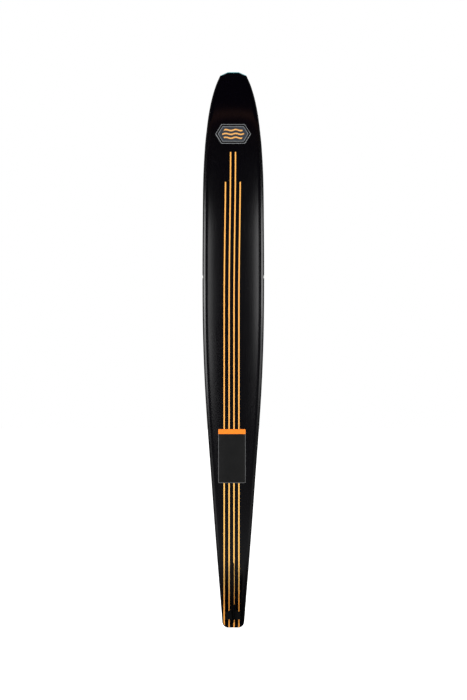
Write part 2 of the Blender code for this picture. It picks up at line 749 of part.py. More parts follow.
def build_fin_block():
    half_flange, half_housing = FLANGE_WIDTH / 2, HOUSING_WIDTH / 2
    low, flange_top = SEAT_GAP, SEAT_GAP + FLANGE_THICKNESS
    end = BLOCK_LENGTH / 2
    profile = rounded([
        (half_flange, low, 0.0), (half_flange, flange_top, FLANGE_EDGE_RADIUS),
        (half_housing, flange_top, HOUSING_FOOT_RADIUS), (half_housing, BLOCK_HEIGHT, HOUSING_EDGE_RADIUS),
        (-half_housing, BLOCK_HEIGHT, HOUSING_EDGE_RADIUS), (-half_housing, flange_top, HOUSING_FOOT_RADIUS),
        (-half_flange, flange_top, FLANGE_EDGE_RADIUS), (-half_flange, low, 0.0),
    ])
    block = new_object("fin_block", extruded("fin_block", profile, -end, end, "Z"), ANODISED, BLOCK_AT)

    plan = rounded([
        (-half_flange, -end, BLOCK_END_RADIUS), (half_flange, -end, BLOCK_END_RADIUS),
        (half_flange, end, BLOCK_END_RADIUS), (-half_flange, end, BLOCK_END_RADIUS),
    ])
    plan_mesh = extruded("block_plan", plan, -OVERCUT, BLOCK_HEIGHT + OVERCUT, "Y")
    cut(block, new_cutter("block_plan", plan_mesh, BLOCK_AT), "INTERSECT")

    cut_scallops(block, flange_top)

    pocket = box(
        "block_pocket", (-POCKET_WIDTH / 2, -OVERCUT, -POCKET_LENGTH / 2),
        (POCKET_WIDTH / 2, POCKET_TOP, POCKET_LENGTH / 2),
    )
    cut(block, new_cutter("block_pocket", pocket, BLOCK_AT))

    window = DEPTH_SCREW_RADIUS + SEAT_GAP
    run = window + FORE_AFT_TRAVEL
    for place_name, at in DEPTH_SCREW_PLACES.items():
        corners = [
            (-window, at - run, window - MERGE), (window, at - run, window - MERGE),
            (window, at + run, window - MERGE), (-window, at + run, window - MERGE),
        ]
        mesh = extruded("depth_window", rounded(corners), POCKET_TOP - OVERCUT, BLOCK_HEIGHT + OVERCUT, "Y")
        cut(block, new_cutter(place_name + "_depth_window", mesh, BLOCK_AT))

    holes = drilled(
        [(x, FIN_CENTRE - z) for x, z in MOUNT_SCREW_CENTRES],
        MOUNT_SCREW_RADIUS + SEAT_GAP, -OVERCUT, flange_top + OVERCUT,
    )
    cut(block, new_cutter("flange_holes", holes, BLOCK_AT, UPWARD))
    thread = drilled(
        [(0.0, 0.0)], ADJUSTER_RADIUS + THREAD_CLEARANCE, -end - OVERCUT, end + OVERCUT,
    )
    at = (0.0, FIN_DECK + ADJUSTER_HEIGHT, FIN_CENTRE)
    cut(block, new_cutter("adjuster_holes", thread, at, TO_TIP))
    lock_holes = drilled(
        [(-LOCK_SCREW_SPREAD / 2, 0.0), (LOCK_SCREW_SPREAD / 2, 0.0)],
        LOCK_SCREW_RADIUS + THREAD_CLEARANCE, -half_housing - OVERCUT, half_housing + OVERCUT,
    )
    at = (0.0, FIN_DECK + LOCK_SCREW_HEIGHT, FIN_CENTRE)
    cut(block, new_cutter("lock_holes", lock_holes, at, TO_RIGHT))

    build_block_screws(flange_top)
    return block


def cut_scallops(block, flange_top):
    """Draw the flange in between its lugs."""
    inner = HOUSING_WIDTH / 2 + HOUSING_FOOT_RADIUS
    outer = FLANGE_WIDTH / 2 + OVERCUT
    half = MOUNT_SCREW_PITCH / 2 - LUG_RADIUS
    for side, side_name in ((-1, "left"), (1, "right")):
        for row, row_name in ((-1, "rear"), (1, "front")):
            middle = row * MOUNT_SCREW_PITCH / 2
            corners = [
                (side * inner, middle - half, SCALLOP_RADIUS), (side * outer, middle - half, 0.0),
                (side * outer, middle + half, 0.0), (side * inner, middle + half, SCALLOP_RADIUS),
            ]
            name = "%s_%s_scallop" % (row_name, side_name)
            mesh = extruded(name, rounded(corners), -OVERCUT, flange_top + OVERCUT, "Y")
            cut(block, new_cutter(name, mesh, BLOCK_AT))


def build_block_screws(flange_top):
    """Screws that hold the block to the deck, and grub screws that lock the carriage."""
    screw = button_screw(
        "block_screw", MOUNT_SCREW_RADIUS, MOUNT_SCREW_LENGTH, MOUNT_HEAD_RADIUS, MOUNT_HEAD_HEIGHT,
    )
    seat = FIN_DECK + flange_top + SEAT_GAP
    for number, (x, z) in enumerate(MOUNT_SCREW_CENTRES, 1):
        new_object("block_screw_%d" % number, screw, STAINLESS, (x, seat, z), UPWARD)

    tip = POCKET_WIDTH / 2 - CARRIAGE_CLEARANCE + SEAT_GAP
    outer = HOUSING_WIDTH / 2 - SEAT_GAP
    grub = grub_screw("lock_screw", LOCK_SCREW_RADIUS, outer - tip)
    number = 0
    for side, turn in ((-1, TO_LEFT), (1, TO_RIGHT)):
        for row in (-1, 1):
            number += 1
            z = FIN_CENTRE + row * LOCK_SCREW_SPREAD / 2
            at = (side * outer, FIN_DECK + LOCK_SCREW_HEIGHT, z)
            new_object("lock_screw_%d" % number, grub, STAINLESS, at, turn)


# Carriage, its adjusters and the depth screws

def build_carriage(block):
    half = POCKET_WIDTH / 2 - CARRIAGE_CLEARANCE
    end = CARRIAGE_LENGTH / 2
    mesh = box("fin_carriage", (-half, CARRIAGE_LIFT, -end), (half, CARRIAGE_TOP, end))
    carriage = new_object("fin_carriage", mesh, CARRIAGE_GREY, BLOCK_AT)
    bevel = carriage.modifiers.new("edges", "BEVEL")
    bevel.width = CARRIAGE_EDGE
    bevel.segments = 1
    slot_half = FIN_THICKNESS / 2 + BLADE_CLEARANCE
    slot = box(
        "blade_slot", (-slot_half, -OVERCUT, -end - OVERCUT),
        (slot_half, CARRIAGE_TOP - CARRIAGE_WEB, end + OVERCUT),
    )
    cut(carriage, new_cutter("blade_slot", slot, BLOCK_AT))
    foot = FIN_TOP_HEIGHT - HOOK_HEIGHT - SEAT_GAP - FOOT_HEIGHT - DEPTH_TRAVEL - SEAT_GAP
    bores = drilled(
        [(0.0, -at) for at in DEPTH_SCREW_PLACES.values()],
        DEPTH_SCREW_RADIUS + THREAD_CLEARANCE, foot, CARRIAGE_TOP + OVERCUT,
    )
    cut(carriage, new_cutter("depth_bores", bores, BLOCK_AT, UPWARD))
    carried_by(carriage, block)

    reach = POCKET_LENGTH / 2 + BLOCK_END_WALL + ADJUSTER_PROUD
    length = reach - end - SEAT_GAP
    adjuster = grub_screw("fore_aft_screw", ADJUSTER_RADIUS, length)
    for name, side, turn in (("front", 1, TO_TIP), ("rear", -1, TO_TAIL)):
        at = (0.0, FIN_DECK + ADJUSTER_HEIGHT, FIN_CENTRE + side * reach)
        carried_by(new_object("fore_aft_screw_" + name, adjuster, STAINLESS, at, turn), carriage)
    return carriage


def build_depth_screws(fin):
    """Screws threaded in the carriage. Their necks hang in the hooks of the fin's top edge."""
    neck_top = FIN_TOP_HEIGHT + SEAT_GAP
    neck_bottom = FIN_TOP_HEIGHT - HOOK_HEIGHT - SEAT_GAP
    foot = neck_bottom - FOOT_HEIGHT
    radius, neck = DEPTH_SCREW_RADIUS, DEPTH_SCREW_NECK_RADIUS
    crown = radius - THREAD_CHAMFER
    profile = [
        (0.0, DEPTH_SCREW_TOP), (crown, DEPTH_SCREW_TOP), (radius, DEPTH_SCREW_TOP - THREAD_CHAMFER),
        (radius, neck_top), (neck, neck_top), (neck, neck_bottom),
        (radius, neck_bottom), (radius, foot), (0.0, foot),
    ]
    mesh = turned("depth_screw", profile, (DEPTH_SCREW_TOP, radius * DRIVE_SHARE, DRIVE_DEPTH))
    for name, at in DEPTH_SCREW_PLACES.items():
        item = new_object("depth_screw_" + name, mesh, STAINLESS, (0.0, FIN_DECK, FIN_CENTRE + at), UPWARD)
        carried_by(item, fin)


# Fin and wing pair

FIN_BASE = base_line(FIN_FROM_TAIL + FIN_LENGTH / 2) - FIN_DECK
FIN_BOTTOM = FIN_BASE - FIN_DEPTH
WING_REAR = -FIN_LENGTH / 2 + WING_FROM_FIN_REAR
WING_PIVOT = (FIN_BASE - WING_BELOW_BASE, WING_REAR + WING_SPINE_LENGTH - WING_SCREW_MARGIN)
WING_SCREW_SPACING = WING_SPINE_LENGTH - 2 * WING_SCREW_MARGIN
WING_REAR_SCREW = (
    WING_PIVOT[0] - WING_SCREW_SPACING * math.sin(WING_ANGLE),
    WING_PIVOT[1] - WING_SCREW_SPACING * math.cos(WING_ANGLE),
)


def build_fin(carriage):
    half, top = FIN_LENGTH / 2, FIN_TOP_HEIGHT
    clamped = CARRIAGE_LENGTH / 2
    outline = rounded([
        (-clamped, 0.0, 0.0), (-clamped, top, FIN_TOP_RADIUS), (clamped, top, FIN_TOP_RADIUS),
        (clamped, 0.0, 0.0), (half, FIN_BASE, 0.0),
        (half - FIN_BOTTOM_FRONT_SETBACK, FIN_BOTTOM, FIN_LEADING_RADIUS),
        (-half + FIN_BOTTOM_REAR_SETBACK, FIN_BOTTOM, FIN_TRAILING_RADIUS), (-half, FIN_BASE, 0.0),
    ])
    mesh = extruded("fin", outline, -FIN_THICKNESS / 2, FIN_THICKNESS / 2, "X")
    fin = new_object("fin", mesh, FIN_BLACK, BLOCK_AT)

    neck = DEPTH_SCREW_NECK_RADIUS + SEAT_GAP
    wide = DEPTH_SCREW_RADIUS + NOTCH_GAP
    hook = top - HOOK_HEIGHT
    floor = hook - SEAT_GAP - FOOT_HEIGHT - NOTCH_GAP
    for name, at in DEPTH_SCREW_PLACES.items():
        outline = [
            (at - neck, top + OVERCUT), (at - neck, hook), (at - wide, hook), (at - wide, floor),
            (at + wide, floor), (at + wide, hook), (at + neck, hook), (at + neck, top + OVERCUT),
        ]
        notch = extruded("notch", outline, -FIN_THICKNESS, FIN_THICKNESS, "X")
        cut(fin, new_cutter(name + "_hook_notch", notch, BLOCK_AT))
    screw_holes = drilled(
        [(-z, y) for y, z in (WING_PIVOT, WING_REAR_SCREW)],
        WING_SCREW_RADIUS + SEAT_GAP, -FIN_THICKNESS, FIN_THICKNESS,
    )
    cut(fin, new_cutter("wing_screw_holes", screw_holes, BLOCK_AT, TO_RIGHT))
    return carried_by(fin, carriage)


def wing_mesh(name, side):
    """Sheet folded to a flange along the fin and a swept wing. Its own axes start at the pivot."""
    inner = FIN_THICKNESS / 2 + SEAT_GAP
    outer = inner + WING_SHEET
    low = -WING_FLANGE_HEIGHT / 2
    high = WING_FLANGE_HEIGHT / 2
    reach = WING_SPAN / 2
    fold = rounded([
        (side * inner, high, 0.0), (side * inner, low, WING_BEND_RADIUS + WING_SHEET),
        (side * reach, low, 0.0), (side * reach, low + WING_SHEET, 0.0),
        (side * outer, low + WING_SHEET, WING_BEND_RADIUS), (side * outer, high, 0.0),
    ])
    front = WING_SCREW_MARGIN
    rear = front - WING_SPINE_LENGTH
    return extruded(name, fold, rear, front, "Z")


def wing_plan_mesh(side):
    inner = FIN_THICKNESS / 2
    neck = inner + SEAT_GAP + WING_SHEET + WING_NECK
    reach = WING_SPAN / 2
    front = WING_SCREW_MARGIN
    rear = front - WING_SPINE_LENGTH
    corners = [
        (side * inner, rear, 0.0), (side * reach, rear, WING_TIP_RADIUS),
        (side * reach, rear + WING_TIP_CHORD, WING_TIP_RADIUS),
        (side * neck, rear + WING_ROOT_CHORD, WING_NECK_RADIUS), (side * neck, front, WING_NOSE_RADIUS),
        (side * inner, front, 0.0),
    ]
    height = WING_FLANGE_HEIGHT
    return extruded("wing_plan", rounded(corners), -height, height, "Y")


def build_wings(fin):
    tilt = Matrix.Rotation(-WING_ANGLE, 4, "X")
    pivot_at = (0.0, FIN_DECK + WING_PIVOT[0], FIN_CENTRE + WING_PIVOT[1])
    rear_at = (0.0, FIN_DECK + WING_REAR_SCREW[0], FIN_CENTRE + WING_REAR_SCREW[1])
    hole = WING_SCREW_RADIUS + SEAT_GAP
    swing = WING_SCREW_SPACING * math.sin(WING_TILT)
    corners = [
        (WING_SCREW_SPACING - hole, hole + swing, hole - MERGE),
        (WING_SCREW_SPACING + hole, hole + swing, hole - MERGE),
        (WING_SCREW_SPACING + hole, -hole - swing, hole - MERGE),
        (WING_SCREW_SPACING - hole, -hole - swing, hole - MERGE),
    ]
    arc_slot = extruded("tilt_slot", [(-z, y) for z, y in rounded(corners)], -WING_SPAN, WING_SPAN, "X")
    pivot_hole = drilled([(0.0, 0.0)], hole, -WING_SPAN, WING_SPAN)
    tilt_slot = new_cutter("tilt_slot", arc_slot, pivot_at, tilt)
    pivot_bore = new_cutter("pivot_bore", pivot_hole, pivot_at, tilt @ TO_RIGHT)
    for name, side in (("left", -1), ("right", 1)):
        wing = new_object("wing_" + name, wing_mesh("wing_" + name, side), FIN_BLACK, pivot_at, tilt)
        plan = new_cutter("wing_plan_" + name, wing_plan_mesh(side), pivot_at, tilt)
        cut(wing, plan, "INTERSECT")
        cut(wing, tilt_slot)
        cut(wing, pivot_bore)
        carried_by(wing, fin)

    face = FIN_THICKNESS / 2 + SEAT_GAP + WING_SHEET + SEAT_GAP
    length = 2 * face + WING_NUT_HEIGHT
    screw = button_screw("wing_screw", WING_SCREW_RADIUS, length, WING_HEAD_RADIUS, WING_HEAD_HEIGHT)
    nut = nut_mesh("wing_nut", WING_NUT_RADIUS, WING_SCREW_RADIUS + THREAD_CLEARANCE, WING_NUT_HEIGHT)
    for name, (x, y, z) in (("front", pivot_at), ("rear", rear_at)):
        carried_by(new_object("wing_screw_" + name, screw, STAINLESS, (x + face, y, z), TO_RIGHT), fin)
        carried_by(new_object("wing_nut_" + name, nut, STAINLESS, (x - face, y, z), TO_LEFT), fin)


def nut_mesh(name, radius, bore, height):
    """Six-sided nut from height 0 upwards, with its bore."""
    item = new_cutter(name, drilled([(0.0, 0.0)], radius, 0.0, height, 6))
    hole = new_cutter(name + "_bore", drilled([(0.0, 0.0)], bore, -OVERCUT, height + OVERCUT))
    cut(item, hole)
    mesh = evaluated_mesh(item)
    bpy.data.objects.remove(item, do_unlink=True)
    bpy.data.objects.remove(hole, do_unlink=True)
    return mesh


build_body()
FIN_BLOCK = build_fin_block()
CARRIAGE = build_carriage(FIN_BLOCK)
FIN = build_fin(CARRIAGE)
build_depth_screws(FIN)
build_wings(FIN)
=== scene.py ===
# %% [markdown]
# # A slalom water ski, dressed
#
# The frame holds the ski as bare solids: two laminate shells round a foam core, brass inserts for
# the bindings, and a fin with wings that slides in its block on the deck. This file keeps every
# place and size and adds the looks. The ski stands on its tail with its base towards the camera:
# X runs across it, Y from the base to the deck, and Z from the tail to the tip.

import json
import math

import bmesh
import bpy
from mathutils import Matrix, Vector


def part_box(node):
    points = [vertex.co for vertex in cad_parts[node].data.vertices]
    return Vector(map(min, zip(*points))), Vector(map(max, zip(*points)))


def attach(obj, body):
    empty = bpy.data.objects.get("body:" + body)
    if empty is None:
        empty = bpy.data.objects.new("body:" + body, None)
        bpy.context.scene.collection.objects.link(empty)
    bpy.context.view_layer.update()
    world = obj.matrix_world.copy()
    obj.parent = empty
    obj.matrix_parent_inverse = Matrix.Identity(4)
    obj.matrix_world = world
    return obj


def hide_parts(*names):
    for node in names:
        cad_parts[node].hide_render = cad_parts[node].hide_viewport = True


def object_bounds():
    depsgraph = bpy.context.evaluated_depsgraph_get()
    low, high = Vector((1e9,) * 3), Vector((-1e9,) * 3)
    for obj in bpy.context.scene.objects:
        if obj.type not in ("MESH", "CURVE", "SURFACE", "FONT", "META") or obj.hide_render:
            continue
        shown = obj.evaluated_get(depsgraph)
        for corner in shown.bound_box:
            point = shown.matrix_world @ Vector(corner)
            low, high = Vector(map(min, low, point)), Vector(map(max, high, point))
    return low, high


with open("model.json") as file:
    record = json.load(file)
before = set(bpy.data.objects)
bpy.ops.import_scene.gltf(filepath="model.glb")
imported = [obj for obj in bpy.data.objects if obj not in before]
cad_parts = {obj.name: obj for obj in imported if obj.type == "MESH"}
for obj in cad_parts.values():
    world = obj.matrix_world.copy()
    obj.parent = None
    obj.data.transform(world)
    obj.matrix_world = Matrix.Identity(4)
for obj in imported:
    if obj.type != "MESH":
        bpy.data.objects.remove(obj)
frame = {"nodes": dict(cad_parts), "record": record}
CAD_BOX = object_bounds()
BODY_OF = {
    node: body for body, nodes in frame["record"]["behaviour"]["bodies"].items() for node in nodes
}

# %% [markdown]
# ## Camera
#
# The photograph was taken square to the base with a long lens, so the edges hardly converge. A
# camera 12 m away with a narrow angle gives the same flat view. Its angle is worked out from how
# tall a strip of the ski's plane the picture covers, which keeps the ski at its size in the frame.

# %% Place the camera
CAMERA_DISTANCE = 12.0
CAMERA_HEIGHT = 0.1186
CAMERA_SIDE = 0.0006
PICTURE_HEIGHT = 2.1405
SENSOR = 0.036


def add_object(name, data):
    """New object in the scene that shows this data."""
    added = bpy.data.objects.new(name, data)
    bpy.context.scene.collection.objects.link(added)
    return added


camera_data = bpy.data.cameras.new("camera")
camera_data.sensor_width = SENSOR * 1000
camera_data.lens = SENSOR * 1000 * CAMERA_DISTANCE / PICTURE_HEIGHT
camera_data.clip_end = 100.0
camera = add_object("camera", camera_data)
camera.location = (CAMERA_SIDE, -CAMERA_DISTANCE, CAMERA_HEIGHT)
camera.rotation_euler = (math.radians(90), 0.0, 0.0)
bpy.context.scene.camera = camera
bpy.context.scene.view_settings.view_transform = "Standard"
print("camera: lens", round(camera_data.lens, 1), "mm")

# %% [markdown]
# ## Shader sums
#
# A shader graph is easier to read as sums than as boxes and lines. The class below holds one
# output of a node. Python's operators on it add Math nodes, so a mask can be written as
# `(abs(x) < 0.003) * (z < 0.7)`. Every other kind of node comes from its one method.

# %% Write shader graphs as expressions
def plug(tree, inputs, values):
    """Give these inputs their values, or link the wires among them."""
    for key, value in values.items():
        if isinstance(value, Wire):
            tree.links.new(value.socket, inputs[key])
        else:
            inputs[key].default_value = value


class Wire:
    """One output of a shader's node. Operators on it add Math nodes."""

    def __init__(self, tree, socket):
        self.tree = tree
        self.socket = socket

    def node(self, kind, settings=None, sockets=None, out=0):
        """Add a node: first its settings, then the values or wires of its sockets."""
        made = self.tree.nodes.new(kind)
        for name, value in (settings or {}).items():
            setattr(made, name, value)
        plug(self.tree, made.inputs, sockets or {})
        return Wire(self.tree, made.outputs[out])

    def maths(self, operation, *values):
        return self.node("ShaderNodeMath", {"operation": operation}, dict(enumerate(values)))

    def __add__(self, other):
        return self.maths("ADD", self, other)

    def __sub__(self, other):
        return self.maths("SUBTRACT", self, other)

    def __mul__(self, other):
        return self.maths("MULTIPLY", self, other)

    def __lt__(self, other):
        return self.maths("LESS_THAN", self, other)

    def __gt__(self, other):
        return self.maths("GREATER_THAN", self, other)

    def __rsub__(self, other):
        return self.maths("SUBTRACT", other, self)

    def __abs__(self):
        return self.maths("ABSOLUTE", self)

    def __or__(self, other):
        return self.maths("MAXIMUM", self, other)

    __radd__ = __add__
    __rmul__ = __mul__

    def parts(self):
        """X, Y and Z of a vector."""
        split = self.node("ShaderNodeSeparateXYZ", None, {0: self})
        return [Wire(self.tree, socket) for socket in split.socket.node.outputs]

    def ramp(self, low, high, start, end):
        """Smooth rise from start to end while this value goes from low to high."""
        return self.node(
            "ShaderNodeMapRange", {"interpolation_type": "SMOOTHSTEP"},
            {"Value": self, "From Min": low, "From Max": high, "To Min": start, "To Max": end},
        )

    def tint(self, dark, light):
        """Colour between two, by this value as the share of the second."""
        ends = [end if isinstance(end, Wire) else (*end, 1.0) for end in (dark, light)]
        return self.node(
            "ShaderNodeMix", {"data_type": "RGBA"}, {0: self, 6: ends[0], 7: ends[1]}, out=2,
        )

    def stretched(self, x, y, z):
        return self.node("ShaderNodeVectorMath", {"operation": "MULTIPLY"}, {0: self, 1: (x, y, z)})

    def noise(self, scale, detail=2.0):
        """Cloudy noise from 0 to 1 at this many grains in a metre."""
        return self.node(
            "ShaderNodeTexNoise", None, {"Vector": self, "Scale": scale, "Detail": detail},
        )

    def bump(self, distance, strength=1.0):
        """Normals of a surface whose height is this value."""
        return self.node(
            "ShaderNodeBump", None, {"Height": self, "Distance": distance, "Strength": strength},
        )


def finish_of(name, paint):
    """Material whose Principled shader takes the sockets that paint gives for a place on it."""
    material = bpy.data.materials.new(name)
    material.use_nodes = True
    tree = material.node_tree
    shader = tree.nodes["Principled BSDF"]
    at = Wire(tree, None).node("ShaderNodeTexCoord", out="Object")
    plug(tree, shader.inputs, paint(at))
    print("finish:", name, "with", len(tree.nodes), "nodes")
    return material


# %% [markdown]
# ## Stage
#
# The ski floats in front of pure white. The world is white for the camera and for reflections,
# but dimmer as a lamp, so that black stays black. The floor is pale and lies under the tail. It
# glows a little for the camera, which lifts it to white and still leaves the ski's soft shadow.

# %% Make the floor and the world
BLACK = (0.0, 0.0, 0.0)
WHITE = (1.0, 1.0, 1.0)
FLOOR_SIZE = 60.0
FLOOR_GLOW = 0.72
WORLD_LIGHT = 0.78


def seen_directly(tree):
    """1 for rays from the camera, from a mirror or through glass, else 0."""
    camera_ray, glossy, through = (
        Wire(tree, None).node("ShaderNodeLightPath", out="Is %s Ray" % kind)
        for kind in ("Camera", "Glossy", "Transmission")
    )
    return camera_ray | glossy | through


world = bpy.data.worlds.new("studio")
bpy.context.scene.world = world
world.use_nodes = True
tree = world.node_tree
strength = WORLD_LIGHT + (1.0 - WORLD_LIGHT) * seen_directly(tree)
plug(tree, tree.nodes["Background"].inputs, {"Color": (*WHITE, 1.0), "Strength": strength})

floor_mesh = bpy.data.meshes.new("floor")
reach = FLOOR_SIZE / 2
corners = [(-reach, -reach, 0), (reach, -reach, 0), (reach, reach, 0), (-reach, reach, 0)]
floor_mesh.from_pydata(corners, [], [(0, 1, 2, 3)])
floor = add_object("floor", floor_mesh)
floor.location.z = CAD_BOX[0][2]


def floor_paint(at):
    grain = at.noise(6.0)
    return {
        "Base Color": grain.tint((0.80, 0.80, 0.80), (0.86, 0.86, 0.86)),
        "Roughness": 0.9,
        "Specular IOR Level": 0.0,
        "Emission Color": seen_directly(at.tree).tint(BLACK, WHITE),
        "Emission Strength": FLOOR_GLOW,
    }


floor_mesh.materials.append(finish_of("floor_white", floor_paint))
print("stage: floor at", round(floor.location.z, 4))

# %% [markdown]
# ## Lamps
#
# Two tall soft boxes stand left and right in front of the ski. The walls of its hollow base each
# mirror the box on the far side, which draws the two long highlights that fade towards the middle.
# Two wide boxes stand further round, with two small ones low beside them. The bevels mirror these
# four, and the wide ones fill in the rest. Two more stand behind and shape the deck.

# %% Hang the soft boxes
# Distance, width and height of two boxes, then (angle, height of its middle, watts) for each
SOFT_BOXES = {
    "front_box": (2.6, 0.45, 0.93, ((-19.5, 0.70, 5.8), (19.5, 0.54, 4.6))),
    "side_box": (2.2, 1.30, 0.76, ((-62.0, 0.50, 21.0), (62.0, 0.50, 18.5))),
    "low_box": (2.0, 0.55, 0.66, ((-80.0, 0.16, 5.0), (80.0, 0.16, 2.4))),
    "back_box": (2.6, 0.60, 1.80, ((-128.0, 0.50, 22.0), (150.0, 0.50, 10.0))),
}


def soft_box(name, distance, width, tall, angle, middle, watts):
    """Area lamp at this angle to the right of the camera, turned to the ski."""
    lamp = bpy.data.lights.new(name, "AREA")
    lamp.shape = "RECTANGLE"
    lamp.size = width
    lamp.size_y = tall
    lamp.energy = watts
    box = add_object(name, lamp)
    turn = math.radians(angle)
    box.location = (distance * math.sin(turn), -distance * math.cos(turn), middle)
    box.rotation_euler = (math.radians(90), 0.0, turn)


for kind, (distance, width, tall, pair) in SOFT_BOXES.items():
    for number, (angle, middle, watts) in enumerate(pair, 1):
        soft_box("%s_%d" % (kind, number), distance, width, tall, angle, middle, watts)
print("lamps:", 2 * len(SOFT_BOXES))

# %% [markdown]
# ## Black cloth
#
# A shiny black thing shows all that is round it. So, as in a studio, black cloth hangs round the
# front behind the boxes and lies on the floor below them. Its lower half glows a little grey, a
# painted reflection standing for lamplight, most of all on the floor, and more on the left. Round
# the foot of the ski it is black. A dim warm band glows across the cloth high up, a painted
# reflection that shows near the tip. Only reflections see the cloth and the band.

# %% Hang the cloth
CLOTH_REACH = 115.0
CLOTH_STEPS = 24
# Distance from the ski and height over the floor: at its foot, out to the walls, and up
CLOTH_PROFILE = ((0.001, 0.0005), (3.5, 0.002), (3.5, 9.0))
# Painted glow on the cloth: grey, stronger low down and on the left, and a warm glowing band high
# up
CLOTH_GLOW = 0.055
GLOW_FADES = (0.85, 1.15)
CLOTH_FLOOR_GLOW = 0.480
FLOOR_ENDS = (-0.72, -0.62)
LEFT_GLOW_GAIN = 2.2
LEFT_FADES = (-2.5, -1.0)
DARK_RADIUS = 1.35
WARM_BAND_AT = 2.17
WARM_BAND_HEIGHT = 0.11
WARM_BAND_GLOW = (0.300, 0.140, 0.080)


def grid_faces(rows, wide):
    """Faces between neighbouring rows of points, where each row has this many points."""
    return [
        (row * wide + i, row * wide + i + 1, (row + 1) * wide + i + 1, (row + 1) * wide + i)
        for row in range(rows - 1) for i in range(wide - 1)
    ]


def cloth_paint(at):
    x, y, z = at.parts()
    # Painted reflections: the cloth glows grey low down and a warm band glows high up, though
    # neither is a lamp
    warm_band = abs(z - WARM_BAND_AT) < WARM_BAND_HEIGHT / 2
    grey = z.ramp(*FLOOR_ENDS, CLOTH_FLOOR_GLOW, CLOTH_GLOW) * z.ramp(*GLOW_FADES, 1.0, 0.0)
    painted_glow = grey * x.ramp(*LEFT_FADES, LEFT_GLOW_GAIN, 1.0) * (x * x + y * y > DARK_RADIUS ** 2)
    return {
        "Base Color": (*BLACK, 1.0),
        "Roughness": 1.0,
        "Specular IOR Level": 0.0,
        "Emission Color": warm_band.tint(painted_glow.tint(BLACK, WHITE), WARM_BAND_GLOW),
        "Emission Strength": 1.0,
    }


cloth_points = []
for step in range(CLOTH_STEPS + 1):
    turn = math.radians(CLOTH_REACH * (2.0 * step / CLOTH_STEPS - 1.0))
    cloth_points += [
        (out * math.sin(turn), -out * math.cos(turn), CAD_BOX[0][2] + up)
        for out, up in CLOTH_PROFILE
    ]
cloth_mesh = bpy.data.meshes.new("black_cloth")
cloth_mesh.from_pydata(cloth_points, [], grid_faces(CLOTH_STEPS + 1, len(CLOTH_PROFILE)))
cloth_mesh.materials.append(finish_of("cloth_glow_and_warm_band", cloth_paint))
black_cloth = add_object("black_cloth", cloth_mesh)
black_cloth.visible_camera = black_cloth.visible_diffuse = black_cloth.visible_shadow = False
print("cloth:", len(cloth_mesh.polygons), "faces")

# %% [markdown]
# ## Lines of the ski
#
# The shells in the frame are coarse, because they are also solids for simulation. Here they are
# drawn again from the same curves with many more points. The first is the outline: a smooth curve
# through a few widths, round corners at the tail, and two slanted corners at the tip. Distances
# run from the tail.

# %% Draw the outline
SKI_LENGTH = 1.702
MAX_WIDTH = 0.1886
TAIL_WIDTH = 0.0650
TAIL_CORNER_RADIUS = 0.0170
TIP_END_WIDTH = 0.0330
TIP_SHOULDER_WIDTH = 0.0810
TIP_CHAMFER_LENGTH = 0.0110
SIDECUT = (
    (0.020, 0.373), (0.099, 0.486), (0.186, 0.609), (0.273, 0.722), (0.359, 0.837),
    (0.445, 0.931), (0.532, 0.986), (0.619, 1.000), (0.720, 0.994), (0.807, 0.975),
    (0.864, 0.922), (0.893, 0.870), (0.922, 0.803), (0.951, 0.700), (0.976, 0.566),
)
TIP_SHOULDER_AT = SKI_LENGTH - TIP_CHAMFER_LENGTH
OUTLINE = (
    [(0.0, TAIL_WIDTH)]
    + [(share * SKI_LENGTH, width * MAX_WIDTH) for share, width in SIDECUT]
    + [(TIP_SHOULDER_AT, TIP_SHOULDER_WIDTH)]
)
TAIL_AT = CAD_BOX[0][2]


def place(distance):
    """Z at this distance from the tail."""
    return distance + TAIL_AT


def smooth_step(share):
    share = min(max(share, 0.0), 1.0)
    return share * share * (3.0 - 2.0 * share)


def curve_through(points, at):
    """Smooth curve through (place, value) pairs."""
    last = len(points) - 1

    def slope(index):
        before, after = points[max(index - 1, 0)], points[min(index + 1, last)]
        return (after[1] - before[1]) / (after[0] - before[0])

    piece = next((i for i in range(last - 1) if at < points[i + 1][0]), last - 1)
    start, end = points[piece], points[piece + 1]
    span = end[0] - start[0]
    t = (at - start[0]) / span
    bend = t * (1.0 - t) * span * (slope(piece) * (1.0 - t) - slope(piece + 1) * t)
    return start[1] + (end[1] - start[1]) * smooth_step(t) + bend


def quarter_arc(radius, distance):
    """How far a rounded end is drawn in, this far from the end."""
    if distance >= radius:
        return 0.0
    return radius - math.sqrt(radius ** 2 - (radius - distance) ** 2)


def half_width(distance):
    if distance > TIP_SHOULDER_AT:
        left = (SKI_LENGTH - distance) / TIP_CHAMFER_LENGTH
        return (TIP_END_WIDTH + (TIP_SHOULDER_WIDTH - TIP_END_WIDTH) * left) / 2
    half = curve_through(OUTLINE, distance) / 2 - quarter_arc(TAIL_CORNER_RADIUS, distance)
    return min(half, CAD_BOX[1][0])


print("outline: widest", round(2000 * max(half_width(i / 1000) for i in range(1700)), 1), "mm")

# %% [markdown]
# Seen from the side, the base lifts a little at the tail and a lot at the tip, which is called
# rocker. The deck is level under the fin block and under the bindings, and thins out to the tip.

# %% Draw the rocker and the thickness
BODY_THICKNESS = 0.0200
TAIL_THICKNESS = 0.0120
TIP_THICKNESS = 0.0080
ROCKER_LOW_POINT = 0.650
TAIL_ROCKER = 0.0120
TIP_ROCKER = 0.0720
TIP_ROCKER_POWER = 3.0
DECK_RISE_POWER = 1.75
END_RADIUS = 0.0025
FIN_DECK_LENGTH = 0.225
BINDING_DECK_LENGTH = 0.660
BINDING_DECK_START = -TAIL_AT - BINDING_DECK_LENGTH / 2
BINDING_DECK_END = -TAIL_AT + BINDING_DECK_LENGTH / 2


